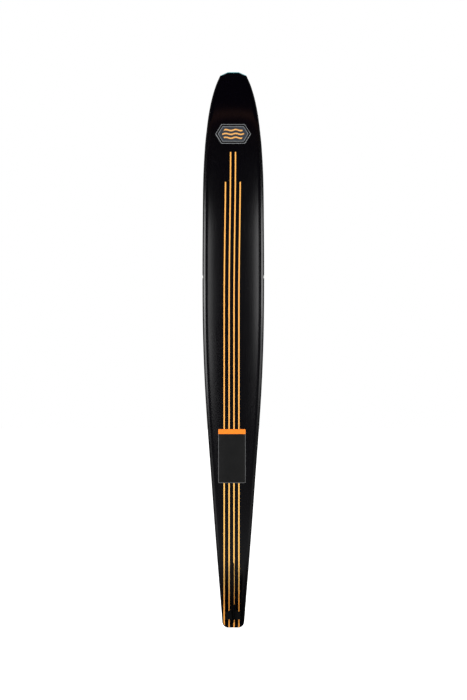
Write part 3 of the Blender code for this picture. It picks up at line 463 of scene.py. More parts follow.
def base_line(distance):
    """Y of the flats of the base."""
    if distance < ROCKER_LOW_POINT:
        rise = TAIL_ROCKER * (1.0 - distance / ROCKER_LOW_POINT) ** 2
    else:
        share = (distance - ROCKER_LOW_POINT) / (SKI_LENGTH - ROCKER_LOW_POINT)
        rise = TIP_ROCKER * share ** TIP_ROCKER_POWER
    return rise - BODY_THICKNESS


FIN_DECK = base_line(0.0) + TAIL_THICKNESS
TIP_DECK = base_line(SKI_LENGTH) + TIP_THICKNESS


def deck_line(distance):
    """Y of the deck, level under the fin block and under the bindings."""
    if distance > BINDING_DECK_END:
        share = (distance - BINDING_DECK_END) / (SKI_LENGTH - BINDING_DECK_END)
        return TIP_DECK * share ** DECK_RISE_POWER
    share = (distance - FIN_DECK_LENGTH) / (BINDING_DECK_START - FIN_DECK_LENGTH)
    return FIN_DECK * (1.0 - smooth_step(share))


print("rocker: tip", round(1000 * (base_line(SKI_LENGTH) - base_line(ROCKER_LOW_POINT))), "mm up")

# %% [markdown]
# ## Sections of the ski
#
# A section of the base has a shallow tunnel, two narrow flats, two bevels and two rounded rails.
# Its path runs from the seam on the left rail to the one on the right. The tunnel fades out towards
# the tip, and where the ski is narrow all parts of the edge shrink together.

# %% Draw a section of the base
TUNNEL_DEPTH = 0.0055
TAIL_TUNNEL_DEPTH = 0.0030
TUNNEL_POWER = 2.6
TUNNEL_DEEP_FROM = 0.600
TUNNEL_FADE_FROM = 1.180
TUNNEL_FADE_TO = 1.620
BASE_FLAT_WIDTH = 0.0060
BEVEL_WIDTH = 0.0050
RAIL_WIDTH = 0.0037
FULL_EDGE_HALF_WIDTH = 0.0340
BEVEL_HEIGHT_SHARE = 0.22
SEAM_HEIGHT_SHARE = 0.50
TUNNEL_STEPS = 22
RAIL_STEPS = 7
MERGE = 1e-6


def end_distance(distance):
    return min(distance, SKI_LENGTH - distance)


def tunnel_depth(distance):
    deep = smooth_step(distance / TUNNEL_DEEP_FROM)
    depth = TAIL_TUNNEL_DEPTH + (TUNNEL_DEPTH - TAIL_TUNNEL_DEPTH) * deep
    fade = (distance - TUNNEL_FADE_FROM) / (TUNNEL_FADE_TO - TUNNEL_FADE_FROM)
    return depth * (1.0 - smooth_step(fade))


def seam_line(distance):
    base = base_line(distance)
    return base + SEAM_HEIGHT_SHARE * (deck_line(distance) - base)


def mirrored_path(half):
    return [(-x, y) for x, y in reversed(half) if x > 0.0] + half


def base_edges(distance, inset=0.0):
    """Half widths at which the tunnel, the flat and the bevel end, and the widest one."""
    half = half_width(distance) - inset
    edge = min(1.0, half / FULL_EDGE_HALF_WIDTH)
    rail = half - RAIL_WIDTH * edge
    bevel = rail - BEVEL_WIDTH * edge
    return bevel - BASE_FLAT_WIDTH * edge, bevel, rail, half, edge


def base_path(distance, inset, seam):
    tunnel, bevel, rail, half, edge = base_edges(distance, inset)
    low = base_line(distance) + quarter_arc(END_RADIUS, end_distance(distance)) + inset
    rise = BEVEL_HEIGHT_SHARE * (deck_line(distance) - base_line(distance)) * edge
    depth = tunnel_depth(distance) * edge
    points = []
    for step in range(TUNNEL_STEPS + 1):
        share = step / TUNNEL_STEPS
        points.append((tunnel * share, low + depth * (1.0 - share ** TUNNEL_POWER)))
    points.append((bevel, low))
    top = min(low + rise, seam - MERGE)
    turn = min(top + (half - rail) * rise / (rail - bevel), seam)
    points.append((rail, top))
    for step in range(1, RAIL_STEPS + 1):
        t = step / RAIL_STEPS
        x = rail * (1.0 - t) ** 2 + half * (1.0 - (1.0 - t) ** 2)
        y = top * (1.0 - t) ** 2 + turn * 2.0 * t * (1.0 - t) + seam * t ** 2
        points.append((x, y))
    return mirrored_path(points)


def base_height(x, distance):
    """Y of the base's surface inside the tunnel."""
    tunnel, _, _, _, edge = base_edges(distance)
    share = min(abs(x) / tunnel, 1.0)
    return base_line(distance) + tunnel_depth(distance) * edge * (1.0 - share ** TUNNEL_POWER)


print("tunnel:", round(1000 * max(tunnel_depth(i / 1000) for i in range(1700)), 1), "mm deep")

# %% [markdown]
# The deck closes the section with short sidewalls and wide round shoulders. Its path ends at the
# same seam, so the two shells meet there.

# %% Draw a section of the deck
SIDEWALL_SHARE = 0.08
SHOULDER_SHARE = 0.26
SHOULDER_STEPS = 14


def deck_path(distance, inset, seam):
    half = half_width(distance) - inset
    top = deck_line(distance) - quarter_arc(END_RADIUS, end_distance(distance))
    top = min(top, CAD_BOX[1][1]) - inset
    wall = seam + SIDEWALL_SHARE * (top - seam)
    shoulder = SHOULDER_SHARE * half
    points = []
    for step in range(SHOULDER_STEPS + 1):
        angle = math.pi / 2 * (1.0 - step / SHOULDER_STEPS)
        x = half - shoulder * (1.0 - math.cos(angle))
        points.append((x, wall + (top - wall) * math.sin(angle)))
    points.append((half, seam))
    return mirrored_path(points)


print("deck: a section has", len(deck_path(ROCKER_LOW_POINT, 0.0, 0.0)), "points")

# %% [markdown]
# The sections stand close together at both ends, where the outline turns quickly, and every
# 15 mm or so along the body.

# %% Choose where the sections stand
BODY_STATIONS = 120
CORNER_STEPS = 14
END_STEPS = 5
END_WALL = 0.0090
SEAT_GAP = 0.0003


def round_corner(radius, steps):
    """Distances from the end of a rounded corner, close together near it."""
    return [radius * (1.0 - math.cos(math.pi / 2 * step / steps)) for step in range(steps + 1)]


def stations():
    places = {0.0, SKI_LENGTH, END_WALL, SKI_LENGTH - END_WALL, END_RADIUS}
    places |= {FIN_DECK_LENGTH, BINDING_DECK_START, BINDING_DECK_END, TIP_SHOULDER_AT}
    places.update(round_corner(TAIL_CORNER_RADIUS, CORNER_STEPS))
    places.update(SKI_LENGTH - at for at in round_corner(END_RADIUS, END_STEPS))
    for step in range(1, BODY_STATIONS):
        share = (1.0 - math.cos(math.pi * step / BODY_STATIONS)) / 2
        even = step / BODY_STATIONS
        places.add(TAIL_CORNER_RADIUS + (TIP_SHOULDER_AT - TAIL_CORNER_RADIUS) * (share + even) / 2)
    ordered = sorted(places)
    kept = [ordered[0]]
    kept += [at for before, at in zip(ordered, ordered[1:]) if at - before > SEAT_GAP / 4]
    return kept


print("sections:", len(stations()))

# %% [markdown]
# Each shell is a thin wall: its outer path, and the same path drawn in by the wall, both lofted
# through all sections. Cutters open the fin's slot and the screw holes later.

# %% Loft a shell
WALL = 0.0016


def new_piece(name, mesh, finishes, body, sharp=30.0):
    """Object for a finished piece, riding on its body."""
    piece = add_object(name, mesh)
    for finish in finishes:
        mesh.materials.append(finish)
    mesh.shade_smooth()
    mesh.set_sharp_from_angle(angle=math.radians(sharp))
    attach(piece, body)
    return piece


def mesh_of(name, shape):
    """Mesh from a shape that bmesh built."""
    mesh = bpy.data.meshes.new(name)
    shape.to_mesh(mesh)
    shape.free()
    return mesh


def loft(name, rings):
    """Closed solid through rings of as many points, with a flat face at each end."""
    shape = bmesh.new()
    rings = [[shape.verts.new(point) for point in ring] for ring in rings]
    for low, high in zip(rings, rings[1:]):
        for i in range(len(low)):
            j = (i + 1) % len(low)
            shape.faces.new((low[i], low[j], high[j], high[i]))
    shape.faces.new(rings[0])
    shape.faces.new(rings[-1])
    bmesh.ops.recalc_face_normals(shape, faces=shape.faces[:])
    return mesh_of(name, shape)


def shell_mesh(name, path, seam_shift, edge_columns):
    """Closed wall of a shell. Its outer path's first and last columns get the second material."""
    rings = []
    for at in stations():
        seam = seam_line(at) + seam_shift
        outer = path(at, 0.0, seam)
        inner = path(at, WALL, seam)
        if end_distance(at) <= END_WALL:
            inner = [(x, seam) for x, _ in inner]
        rings.append([(x, y, place(at)) for x, y in outer + inner[::-1]])
    mesh = loft(name, rings)
    across = len(outer)
    for row in range(len(rings) - 1):
        for i in (*range(edge_columns), *range(across - 1 - edge_columns, across - 1)):
            mesh.polygons[row * len(rings[0]) + i].material_index = 1
    return mesh


# %% [markdown]
# ## Cutters
#
# The slot for the fin and the holes round the inserts are cut with Boolean modifiers, as a router
# would. The cutters are round bars and one long slot. They only shape other pieces, so they go
# once the cut is applied.

# %% Make the cutters
FIN_LENGTH = 0.1750
FIN_FROM_TAIL = 0.0195
SLOT_WIDTH = 0.0040
FORE_AFT_TRAVEL = 0.0035
SLOT_END_ROOM = 0.0010
SLOT_LENGTH = FIN_LENGTH + 2 * (FORE_AFT_TRAVEL + SLOT_END_ROOM)
FIN_CENTRE = place(FIN_FROM_TAIL + FIN_LENGTH / 2)
SLOT_END_STEPS = 12
ALONG_X = Matrix.Rotation(math.pi / 2, 4, "Y")
ALONG_Y = Matrix.Rotation(math.pi / 2, 4, "X")


def bars(middles, radius, length, turn, sides=48):
    """Round or six-sided bars about these middles. The turn lays their Z along another axis."""
    shape = bmesh.new()
    for middle in middles:
        bmesh.ops.create_cone(
            shape, cap_ends=True, segments=sides, radius1=radius, radius2=radius,
            depth=length, matrix=Matrix.Translation(middle) @ turn,
        )
    return mesh_of("bars", shape)


def slot_bar():
    """Bar with round ends that cuts the fin's slot."""
    radius = SLOT_WIDTH / 2
    reach = SLOT_LENGTH / 2 - radius
    outline = []
    for end in (1, -1):
        for step in range(SLOT_END_STEPS + 1):
            angle = math.pi * step / SLOT_END_STEPS
            outline.append(
                (end * radius * math.cos(angle), end * (reach + radius * math.sin(angle)))
            )
    return loft("slot_bar", [
        [(x, y, FIN_CENTRE + z) for x, z in outline]
        for y in (-2 * BODY_THICKNESS, 2 * BODY_THICKNESS)
    ])


print("slot:", round(1000 * SLOT_LENGTH, 1), "mm long")

# %% [markdown]
# A modifier is only a recipe until its result is written into the mesh. The next helper does that
# by taking the evaluated mesh, and the one after it cuts shapes out of a piece for good.

# %% Cut for good
def applied(piece):
    """Bake a piece's modifiers into its mesh."""
    bpy.context.view_layer.update()
    graph = bpy.context.evaluated_depsgraph_get()
    mesh = bpy.data.meshes.new_from_object(piece.evaluated_get(graph))
    old = piece.data
    piece.modifiers.clear()
    piece.data = mesh
    bpy.data.meshes.remove(old)


def cut_out(piece, *meshes):
    """Cut these shapes out of a piece for good."""
    tools = []
    for mesh in meshes:
        tool = add_object(mesh.name, mesh)
        cut = piece.modifiers.new(mesh.name, "BOOLEAN")
        cut.operation = "DIFFERENCE"
        cut.object = tool
        tools.append(tool)
    applied(piece)
    for tool in tools:
        bpy.data.objects.remove(tool, do_unlink=True)


# %% [markdown]
# ## Black base with stripes
#
# The base is black and satin smooth from moulding, with the faint waviness of a gel coat and a
# haze of fine scratches along the ski. The tip, which rides clear, is less worn. Four orange
# stripes are printed down its middle. Their colour carries painted shade beside the wings and
# painted light from there up to the panel. They are painted by their distance from the stripe
# group's own centre line, which bends a little near the tip as on the real print, so each stripe
# is one comparison. Along the very edge of the tip shows a thread of teal, the colour of a film
# between the layers.

# %% Paint the base
STRIPE_WIDTH = 0.0038
STRIPE_PITCH = 0.0150
INNER_STRIPE_END = place(1.455)
OUTER_STRIPE_END = place(1.363)
STRIPE_SIDE = -0.0054
STRIPE_SIDE_AT_TIP = -0.0008
STRIPE_BEND = (place(0.980), place(1.460))
# From the tail: a deep orange beside the wings as painted shade, a paler one up to the panel as
# painted light, and the main one, which is the print's own colour
STRIPE_ORANGES = ((1.0, 0.405, 0.068), (1.0, 0.560, 0.135), (0.985, 0.465, 0.102))
STRIPE_LIGHT_CHANGES = ((place(0.080), place(0.150)), (place(0.450), place(0.600)))
PRINT_WEAR = 0.06
BASE_SHADES = ((0.0007, 0.0005, 0.0014), (0.0015, 0.0011, 0.0023))
BASE_SHINE = 0.40
BASE_ROUGHNESS = 0.13
POLISH = (place(1.500), place(1.560))
POLISHED_SHARE = 0.45
SCRATCH_SIZE = 14.0
SCRATCH_WIDTH = 0.0010
SCRATCH_ROUGHNESS = 0.18
SCRATCHED_ABOVE = 0.56
TEAL = (0.060, 0.360, 0.390)
TEAL_WIDTH = 0.0020
TEAL_SLANT_SHARE = 0.7


def teal_rim(x, z):
    """1 along the end of the tip and its two slanted corners."""
    spread = (TIP_SHOULDER_WIDTH - TIP_END_WIDTH) / 2 / TIP_CHAMFER_LENGTH
    from_end = place(SKI_LENGTH) - z
    from_slant = (from_end * spread + TIP_END_WIDTH / 2 - abs(x)) * math.cos(math.atan(spread))
    slant = (from_slant < TEAL_WIDTH * TEAL_SLANT_SHARE) * (from_end < TIP_CHAMFER_LENGTH)
    return slant | (from_end < TEAL_WIDTH)


def scratches(at):
    """Thin curved hairlines: where a slow noise crosses its middle."""
    slow = at.stretched(1.0, 1.0, 0.35).noise(SCRATCH_SIZE, 1.0)
    line = abs(slow - 0.5) < SCRATCH_WIDTH / 2
    return line * (at.noise(9.0, 3.0) > SCRATCHED_ABOVE)


def base_paint(at):
    x, _, z = at.parts()
    across = abs(x - z.ramp(*STRIPE_BEND, STRIPE_SIDE, STRIPE_SIDE_AT_TIP))
    inner = (abs(across - STRIPE_PITCH / 2) < STRIPE_WIDTH / 2) * (z < INNER_STRIPE_END)
    outer = (abs(across - 1.5 * STRIPE_PITCH) < STRIPE_WIDTH / 2) * (z < OUTER_STRIPE_END)
    stripes = inner | outer
    haze = at.stretched(260.0, 260.0, 9.0).noise(1.0, 4.0)
    cloud = at.noise(7.0, 3.0)
    black = cloud.tint(*BASE_SHADES)
    deep, pale, main = STRIPE_ORANGES
    # Painted shade beside the wings and painted light up to the panel, blended into the print's
    # orange
    low_change, high_change = (z.ramp(*change, 0.0, 1.0) for change in STRIPE_LIGHT_CHANGES)
    print_and_painted_light = high_change.tint(low_change.tint(deep, pale), main)
    orange = ((1.0 - (haze + cloud) * 0.5) * PRINT_WEAR).tint(print_and_painted_light, BLACK)
    fine = at.noise(900.0, 1.0)
    wavy = at.noise(38.0, 1.0)
    height = fine * 0.08 + wavy * 0.5 + haze * 0.05
    worn = haze * 0.08 + cloud * 0.06 + BASE_ROUGHNESS + scratches(at) * SCRATCH_ROUGHNESS
    return {
        "Base Color": teal_rim(x, z).tint(stripes.tint(black, orange), TEAL),
        "Roughness": worn * z.ramp(*POLISH, 1.0, POLISHED_SHARE),
        "Specular IOR Level": BASE_SHINE,
        "Normal": height.bump(0.00012, 0.5),
    }


BASE_STRIPED = finish_of("base_black_striped", base_paint)

# %% [markdown]
# The rails are duller than the base, from lying on docks and in boats. Each carries one small pale
# mark at the same height. The two shells share this finish along their edges.

# %% Paint the rails and loft the base
TICK_AT = place(1.072)
TICK_LENGTH = 0.0090
TICK_DEPTH = 0.0020
TICK_GREY = (0.620, 0.620, 0.610)
RAIL_SHADES = ((0.005, 0.005, 0.005), (0.014, 0.014, 0.014))


def rail_paint(at):
    x, _, z = at.parts()
    scuff = at.stretched(300.0, 300.0, 30.0).noise(1.0, 3.0)
    black = scuff.tint(*RAIL_SHADES)
    along = (z - TICK_AT) * (2.0 / TICK_LENGTH)
    inwards = (abs(x) - MAX_WIDTH / 2) * (1.0 / TICK_DEPTH)
    tick = (along * along + inwards * inwards < 1.0).tint(black, TICK_GREY)
    return {
        "Base Color": teal_rim(x, z).tint(tick, TEAL),
        "Roughness": scuff * 0.2 + 0.6,
        "Specular IOR Level": 0.0,
        "Normal": scuff.bump(0.00008, 0.6),
    }


RAIL_BLACK = finish_of("rail_black", rail_paint)
base_skin = new_piece(
    "base_skin", shell_mesh("base_skin", base_path, -SEAT_GAP / 2, RAIL_STEPS),
    [BASE_STRIPED, RAIL_BLACK], "ski",
)
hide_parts("base_shell")
cut_out(base_skin, slot_bar())
print("base_skin:", len(base_skin.data.polygons), "faces")

# %% [markdown]
# ## Deck
#
# The deck faces away in the photograph. Such decks are matt black with a fine pebbled grain that
# wet hands can hold. A Voronoi texture gives one pebble for each cell, high in its middle. Its
# colour is darker between the pebbles than on their crowns, which is painted shade. Holes for the
# brass inserts of two bindings and for the fin block's screws go through the shell.

# %% Paint the deck and cut its holes
PEBBLES = 650.0
DECK_SHADES = ((0.002, 0.002, 0.003), (0.018, 0.018, 0.019))
DECK_SHINE = 0.20
DECK_EDGE_STEPS = 2
COLUMN_SPACING = 0.0760
ROW_SPACING = 0.1050
GROUP_SPACING = 0.3000
INSERT_FLANGE_RADIUS = 0.0062
MOUNT_SCREW_SPREAD = 0.0346
MOUNT_SCREW_PITCH = 0.0800
MOUNT_SCREW_RADIUS = 0.0020
INSERT_CENTRES = [
    (column * COLUMN_SPACING / 2, group * GROUP_SPACING / 2 + row * ROW_SPACING)
    for group in (-1, 1) for row in (-1, 0, 1) for column in (-1, 1)
]
MOUNT_SCREW_CENTRES = [
    (side * MOUNT_SCREW_SPREAD / 2, FIN_CENTRE + row * MOUNT_SCREW_PITCH)
    for row in (-1, 0, 1) for side in (-1, 1)
]


def deck_paint(at):
    x, _, z = at.parts()
    pebble = at.node("ShaderNodeTexVoronoi", None, {"Vector": at, "Scale": PEBBLES})
    cloud = at.noise(5.0, 3.0)
    crown = 1.0 - pebble.ramp(0.15, 0.75, 0.0, 1.0)
    # Painted shade: darker between the pebbles, lighter on their crowns, mixed with a random cloud
    black = (crown * 0.6 + cloud * 0.4).tint(*DECK_SHADES)
    return {
        "Base Color": teal_rim(x, z).tint(black, TEAL),
        "Roughness": cloud * 0.12 - crown * 0.12 + 0.48,
        "Specular IOR Level": DECK_SHINE,
        "Normal": crown.bump(0.00045, 1.0),
    }


deck_skin = new_piece(
    "deck_skin", shell_mesh("deck_skin", deck_path, SEAT_GAP / 2, DECK_EDGE_STEPS),
    [finish_of("deck_black_pebbled", deck_paint), RAIL_BLACK], "ski",
)
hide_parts("top_shell")
insert_places = [(x, 0.0, z) for x, z in INSERT_CENTRES]
screw_places = [(x, FIN_DECK, z) for x, z in MOUNT_SCREW_CENTRES]
cut_out(
    deck_skin, slot_bar(),
    bars(insert_places, INSERT_FLANGE_RADIUS + SEAT_GAP, 4 * WALL, ALONG_Y),
    bars(screw_places, MOUNT_SCREW_RADIUS + SEAT_GAP, 4 * WALL, ALONG_Y),
)
print("deck_skin:", len(deck_skin.data.polygons), "faces")

# %% [markdown]
# ## Printed films
#
# Two thin films are stuck on the base: a shield near the tip and a panel above the fin. Each is a
# sheet that follows the hollow of the base, so its points take their height from the base's own
# curve. A row of the sheet is as wide as the film's outline there, which gives the shield its
# points and the panel its round corners.

# %% Lay a film on the base
FILM_PROUD = 0.00012
FILM_THICKNESS = 0.00010
FILM_COLUMNS = 24


def film(name, side, middle, half_at, rows, finish):
    """Thin sheet on the base. half_at gives its half width this far above its middle."""
    points = []
    for up in rows:
        half = half_at(up)
        for column in range(FILM_COLUMNS + 1):
            x = side + half * (2.0 * column / FILM_COLUMNS - 1.0)
            at = middle + up
            points.append((x, base_height(x, at) - FILM_PROUD, place(at)))
    mesh = bpy.data.meshes.new(name)
    mesh.from_pydata(points, [], grid_faces(len(rows), FILM_COLUMNS + 1))
    piece = new_piece(name, mesh, [finish], "ski")
    thick = piece.modifiers.new("sheet", "SOLIDIFY")
    thick.thickness = FILM_THICKNESS
    thick.offset = -1.0
    applied(piece)
    print(name, "has", len(piece.data.polygons), "faces")


def shaded(colour, share):
    return tuple(part * share for part in colour)


# %% [markdown]
# The shield has a dark grey field inside two thin lines, and three orange waves across it. Lines
# are painted by their distance from the edge. A sine bends the height at which the waves lie, and
# wrapping that height repeats one wave three times.

# %% Print the shield
SHIELD_FROM_TAIL = 1.5105
SHIELD_SIDE = -0.0005
SHIELD_WIDTH = 0.1110
SHIELD_HEIGHT = 0.0620
SHIELD_POINT = 0.0190
SHIELD_STEPS = 12
SHIELD_FIELD = (0.034, 0.040, 0.050)
SHIELD_GREY = (0.230, 0.240, 0.250)
SHIELD_ORANGE = (0.800, 0.400, 0.110)
SHIELD_MARGIN = (0.004, 0.004, 0.005)
SHIELD_EDGE = 0.0012
SHIELD_LINE = 0.0013
SHIELD_GAP = 0.0072
WAVE_PITCH = 0.0118
WAVE_LINE = 0.0044
WAVE_HEIGHT = 0.0016
WAVE_LENGTH = 0.0300
WAVES = 3
WAVES_WIDTH = 0.0680
WAVES_LEAN = 0.5


def shield_half(up):
    return SHIELD_WIDTH / 2 - SHIELD_POINT * abs(up) / (SHIELD_HEIGHT / 2)


def shield_paint(at):
    x, _, z = at.parts()
    across = abs(x - SHIELD_SIDE)
    up = z - place(SHIELD_FROM_TAIL)
    lean = math.atan2(SHIELD_POINT, SHIELD_HEIGHT / 2)
    slant = (across - SHIELD_WIDTH / 2) * math.cos(lean) + abs(up) * math.sin(lean)
    inside = -1.0 * (slant | (abs(up) - SHIELD_HEIGHT / 2))
    outer_line = abs(inside - SHIELD_EDGE - SHIELD_LINE / 2) < SHIELD_LINE / 2
    inner_line = abs(inside - SHIELD_EDGE - SHIELD_GAP) < SHIELD_LINE / 2
    phase = x * (2.0 * math.pi / WAVE_LENGTH)
    wave = up - phase.maths("SINE", phase) * WAVE_HEIGHT
    band = abs(wave.maths("WRAP", wave, WAVE_PITCH / 2, -WAVE_PITCH / 2)) < WAVE_LINE / 2
    room = across < WAVES_WIDTH / 2 - abs(up) * WAVES_LEAN
    waves = band * (abs(wave) < WAVES * WAVE_PITCH / 2) * room
    grain = at.noise(700.0, 2.0)
    field = at.noise(60.0, 3.0).tint(shaded(SHIELD_FIELD, 0.8), shaded(SHIELD_FIELD, 1.2))
    dark = (inside > SHIELD_EDGE + SHIELD_GAP).tint(SHIELD_MARGIN, field)
    lined = (outer_line | inner_line).tint(dark, SHIELD_GREY)
    return {
        "Base Color": waves.tint(lined, SHIELD_ORANGE),
        "Roughness": grain * 0.1 + 0.3,
        "Specular IOR Level": BASE_SHINE,
        "Normal": grain.bump(0.00003, 0.5),
    }


film(
    "shield_film", SHIELD_SIDE, SHIELD_FROM_TAIL, shield_half,
    [SHIELD_HEIGHT * (step / SHIELD_STEPS - 0.5) for step in range(SHIELD_STEPS + 1)],
    finish_of("shield_print", shield_paint),
)

# %% [markdown]
# The panel is plain and black with a thin grey frame and an orange bar along its top. Its round
# corners need rows that stand close together at both ends. In the paint, the distance from the
# frame's straight sides and from its corner arcs comes from one formula.

# %% Print the panel
PANEL_FROM_TAIL = 0.5245
PANEL_SIDE = -0.0042
PANEL_WIDTH = 0.0840
PANEL_HEIGHT = 0.1650
PANEL_CORNER = 0.0025
PANEL_CORNER_STEPS = 6
PANEL_STEPS = 16
PANEL_BAR_HEIGHT = 0.0150
PANEL_BLACK = (0.0035, 0.0035, 0.0038)
PANEL_GREY = (0.090, 0.090, 0.092)
PANEL_ORANGE = (0.950, 0.235, 0.004)
PANEL_LINE = 0.0016
PANEL_FRAME_INSET = 0.0004


def panel_half(up):
    return PANEL_WIDTH / 2 - quarter_arc(PANEL_CORNER, PANEL_HEIGHT / 2 - abs(up))


def panel_paint(at):
    x, _, z = at.parts()
    across = abs(x - PANEL_SIDE)
    up = z - place(PANEL_FROM_TAIL)
    out_x = (across - (PANEL_WIDTH / 2 - PANEL_CORNER)) | 0.0
    out_z = (abs(up) - (PANEL_HEIGHT / 2 - PANEL_CORNER)) | 0.0
    out = out_x * out_x + out_z * out_z
    inside = PANEL_CORNER - out.maths("SQRT", out)
    frame_line = (inside > PANEL_FRAME_INSET) * (inside < PANEL_FRAME_INSET + PANEL_LINE)
    bar = (up > PANEL_HEIGHT / 2 - PANEL_BAR_HEIGHT) * (inside > PANEL_FRAME_INSET)
    grain = at.noise(700.0, 2.0)
    cloud = at.noise(25.0, 3.0)
    dark = cloud.tint(shaded(PANEL_BLACK, 0.7), shaded(PANEL_BLACK, 1.3))
    orange = cloud.tint(shaded(PANEL_ORANGE, 0.92), PANEL_ORANGE)
    return {
        "Base Color": bar.tint(frame_line.tint(dark, PANEL_GREY), orange),
        "Roughness": grain * 0.1 + cloud * 0.1 + 0.30,
        "Specular IOR Level": BASE_SHINE,
        "Normal": grain.bump(0.00003, 0.5),
    }


corner_rows = round_corner(PANEL_CORNER, PANEL_CORNER_STEPS)
straight = PANEL_HEIGHT / 2 - PANEL_CORNER
panel_rows = [row - PANEL_HEIGHT / 2 for row in corner_rows]
panel_rows += [straight * (2 * step / PANEL_STEPS - 1.0) for step in range(1, PANEL_STEPS)]
panel_rows += [PANEL_HEIGHT / 2 - row for row in reversed(corner_rows)]
film("panel_film", PANEL_SIDE, PANEL_FROM_TAIL, panel_half, panel_rows,
     finish_of("panel_print", panel_paint))

# %% [markdown]
# ## Metals
#
# Anodised aluminium keeps the grain of the sheet or the mill under its skin. Stainless steel, brass
# and blackened steel show the fine rings of the lathe. Each kind is one recipe, mixed with its own
# shades and roughness.

# %% Mix the metals
RINGS = 5200.0


def brushed(name, stretch, shades, metal, rough, shine=0.5):
    """Metal whose grain runs along the axis with the smallest stretch."""
    def paint(at):
        grain = at.stretched(*stretch).noise(1.0, 4.0)
        cloud = at.noise(30.0, 3.0)
        return {
            "Base Color": (grain * 0.6 + cloud * 0.4).tint(*shades),
            "Metallic": metal,
            "Roughness": grain * 0.14 + cloud * 0.06 + rough,
            "Specular IOR Level": shine,
            "Normal": grain.bump(0.00003, 0.35),
        }
    return finish_of(name, paint)


def turned(name, shades, rough):
    """Metal from the lathe, with rings round its own Z."""
    def paint(at):
        x, y, z = at.parts()
        out = x * x + y * y
        fine = {0: out.maths("SQRT", out) * RINGS, 1: 0.0, 2: z * RINGS}
        rings = at.node("ShaderNodeCombineXYZ", None, fine).noise(1.0, 2.0)
        cloud = at.noise(400.0, 2.0)
        return {
            "Base Color": (rings * 0.5 + cloud * 0.5).tint(*shades),
            "Metallic": 1.0,
            "Roughness": rings * 0.14 + rough,
            "Normal": rings.bump(0.00002, 0.4),
        }
    return finish_of(name, paint)


STEEL = turned("stainless_turned", ((0.42, 0.42, 0.43), (0.66, 0.66, 0.67)), 0.20)
BRASS = turned("brass_turned", ((0.50, 0.34, 0.13), (0.74, 0.56, 0.26)), 0.24)
FIN_SHEET = brushed(
    "fin_anodised", (200.0, 900.0, 25.0),
    ((0.002, 0.002, 0.0023), (0.008, 0.008, 0.0085)), 0.4, 0.26, 0.15,
)
DARK_STEEL = turned("dark_steel", ((0.010, 0.010, 0.011), (0.028, 0.028, 0.030)), 0.30)
BLOCK_BLACK = brushed(
    "block_anodised", (500.0, 500.0, 60.0),
    ((0.026, 0.026, 0.028), (0.055, 0.055, 0.059)), 0.7, 0.28,
)
MILLED = brushed(
    "carriage_milled", (900.0, 900.0, 90.0),
    ((0.40, 0.41, 0.43), (0.56, 0.57, 0.59)), 1.0, 0.28,
)
print("metals:", len((STEEL, BRASS, FIN_SHEET, DARK_STEEL, BLOCK_BLACK, MILLED)))

# %% [markdown]
# ## Inside the ski
#
# The core is a pale foam with small cells. Its boards are pressed glass fibre, whose fibres cross:
# where two noises are drawn out along X and along Z, the larger of the two shows. The core, the
# boards and the inserts of the fin block have the right shape as solids, so only their finish
# changes.

# %% Dress the hidden solids
FOAM_CELLS = 1400.0
FOAM_SHADES = ((0.62, 0.52, 0.30), (0.80, 0.71, 0.47))
BOARD_SHADES = ((0.09, 0.09, 0.07), (0.24, 0.22, 0.17))
FIBRES_ACROSS, FIBRES_ALONG = 900.0, 40.0


def foam_paint(at):
    cells = at.node("ShaderNodeTexVoronoi", None, {"Vector": at, "Scale": FOAM_CELLS})
    cloud = at.noise(40.0, 4.0)
    return {
        "Base Color": (cells * 0.6 + cloud * 0.5).tint(*FOAM_SHADES),
        "Roughness": cloud * 0.1 + 0.85,
        "Normal": cells.bump(0.0002, 0.7),
    }


def board_paint(at):
    along_z = at.stretched(FIBRES_ACROSS, FIBRES_ALONG, FIBRES_ALONG).noise(1.0, 2.0)
    along_x = at.stretched(FIBRES_ALONG, FIBRES_ALONG, FIBRES_ACROSS).noise(1.0, 2.0)
    fibres = along_z | along_x
    return {
        "Base Color": fibres.tint(*BOARD_SHADES),
        "Roughness": fibres * 0.2 + 0.45,
        "Normal": fibres.bump(0.0001, 0.5),
    }


for finish, names in (
    (finish_of("foam_pale", foam_paint), ["foam_core"]),
    (finish_of("board_glass_fibre", board_paint),
     ["tail_block", "rear_insert_plate", "front_insert_plate"]),
    (BRASS, ["fin_insert_%d" % number for number in range(1, 7)]),
    (MILLED, ["fin_carriage"]),
):
    for name in names:
        materials = frame["nodes"][name].data.materials
        materials.clear()
        materials.append(finish)
    print(finish.name, "on", len(names), "solids")

# %% [markdown]
# ## Machined edges
#
# The fin block and the wings come from a mill and a press, and then a brush takes their sharp
# edges. A copy of each solid gets a small bevel along every edge that turns by more than 30
# degrees. First the copy's flat faces are joined again, so that the bevel follows real edges only.

# %% Break the edges of the block
EDGE_TURN = math.radians(30)
EDGE_STEPS = 3
FLAT_WITHIN = math.radians(0.5)
EDGE_BREAK = 0.00030


def break_edges(piece, width):
    """Bevel every sharp edge for good. The faces beside it keep their own flat shading."""
    bevel = piece.modifiers.new("edges", "BEVEL")
    bevel.width = width
    bevel.segments = EDGE_STEPS
    bevel.limit_method = "ANGLE"
    bevel.angle_limit = EDGE_TURN
    bevel.harden_normals = True
    applied(piece)
    print(piece.name, "has", len(piece.data.polygons), "faces")


def broken_edges(name, solid_name, width, finish, reshape=None):
    """Copy of a solid, reshaped or not, with its edges broken, which stands for it."""
    shape = bmesh.new()
    shape.from_mesh(frame["nodes"][solid_name].data)
    bmesh.ops.remove_doubles(shape, verts=shape.verts[:], dist=MERGE)
    bmesh.ops.dissolve_limit(
        shape, angle_limit=FLAT_WITHIN, verts=shape.verts[:], edges=shape.edges[:],
    )
    if reshape:
        reshape(shape)
    piece = new_piece(name, mesh_of(name, shape), [finish], BODY_OF[solid_name])
    break_edges(piece, width)
    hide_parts(solid_name)


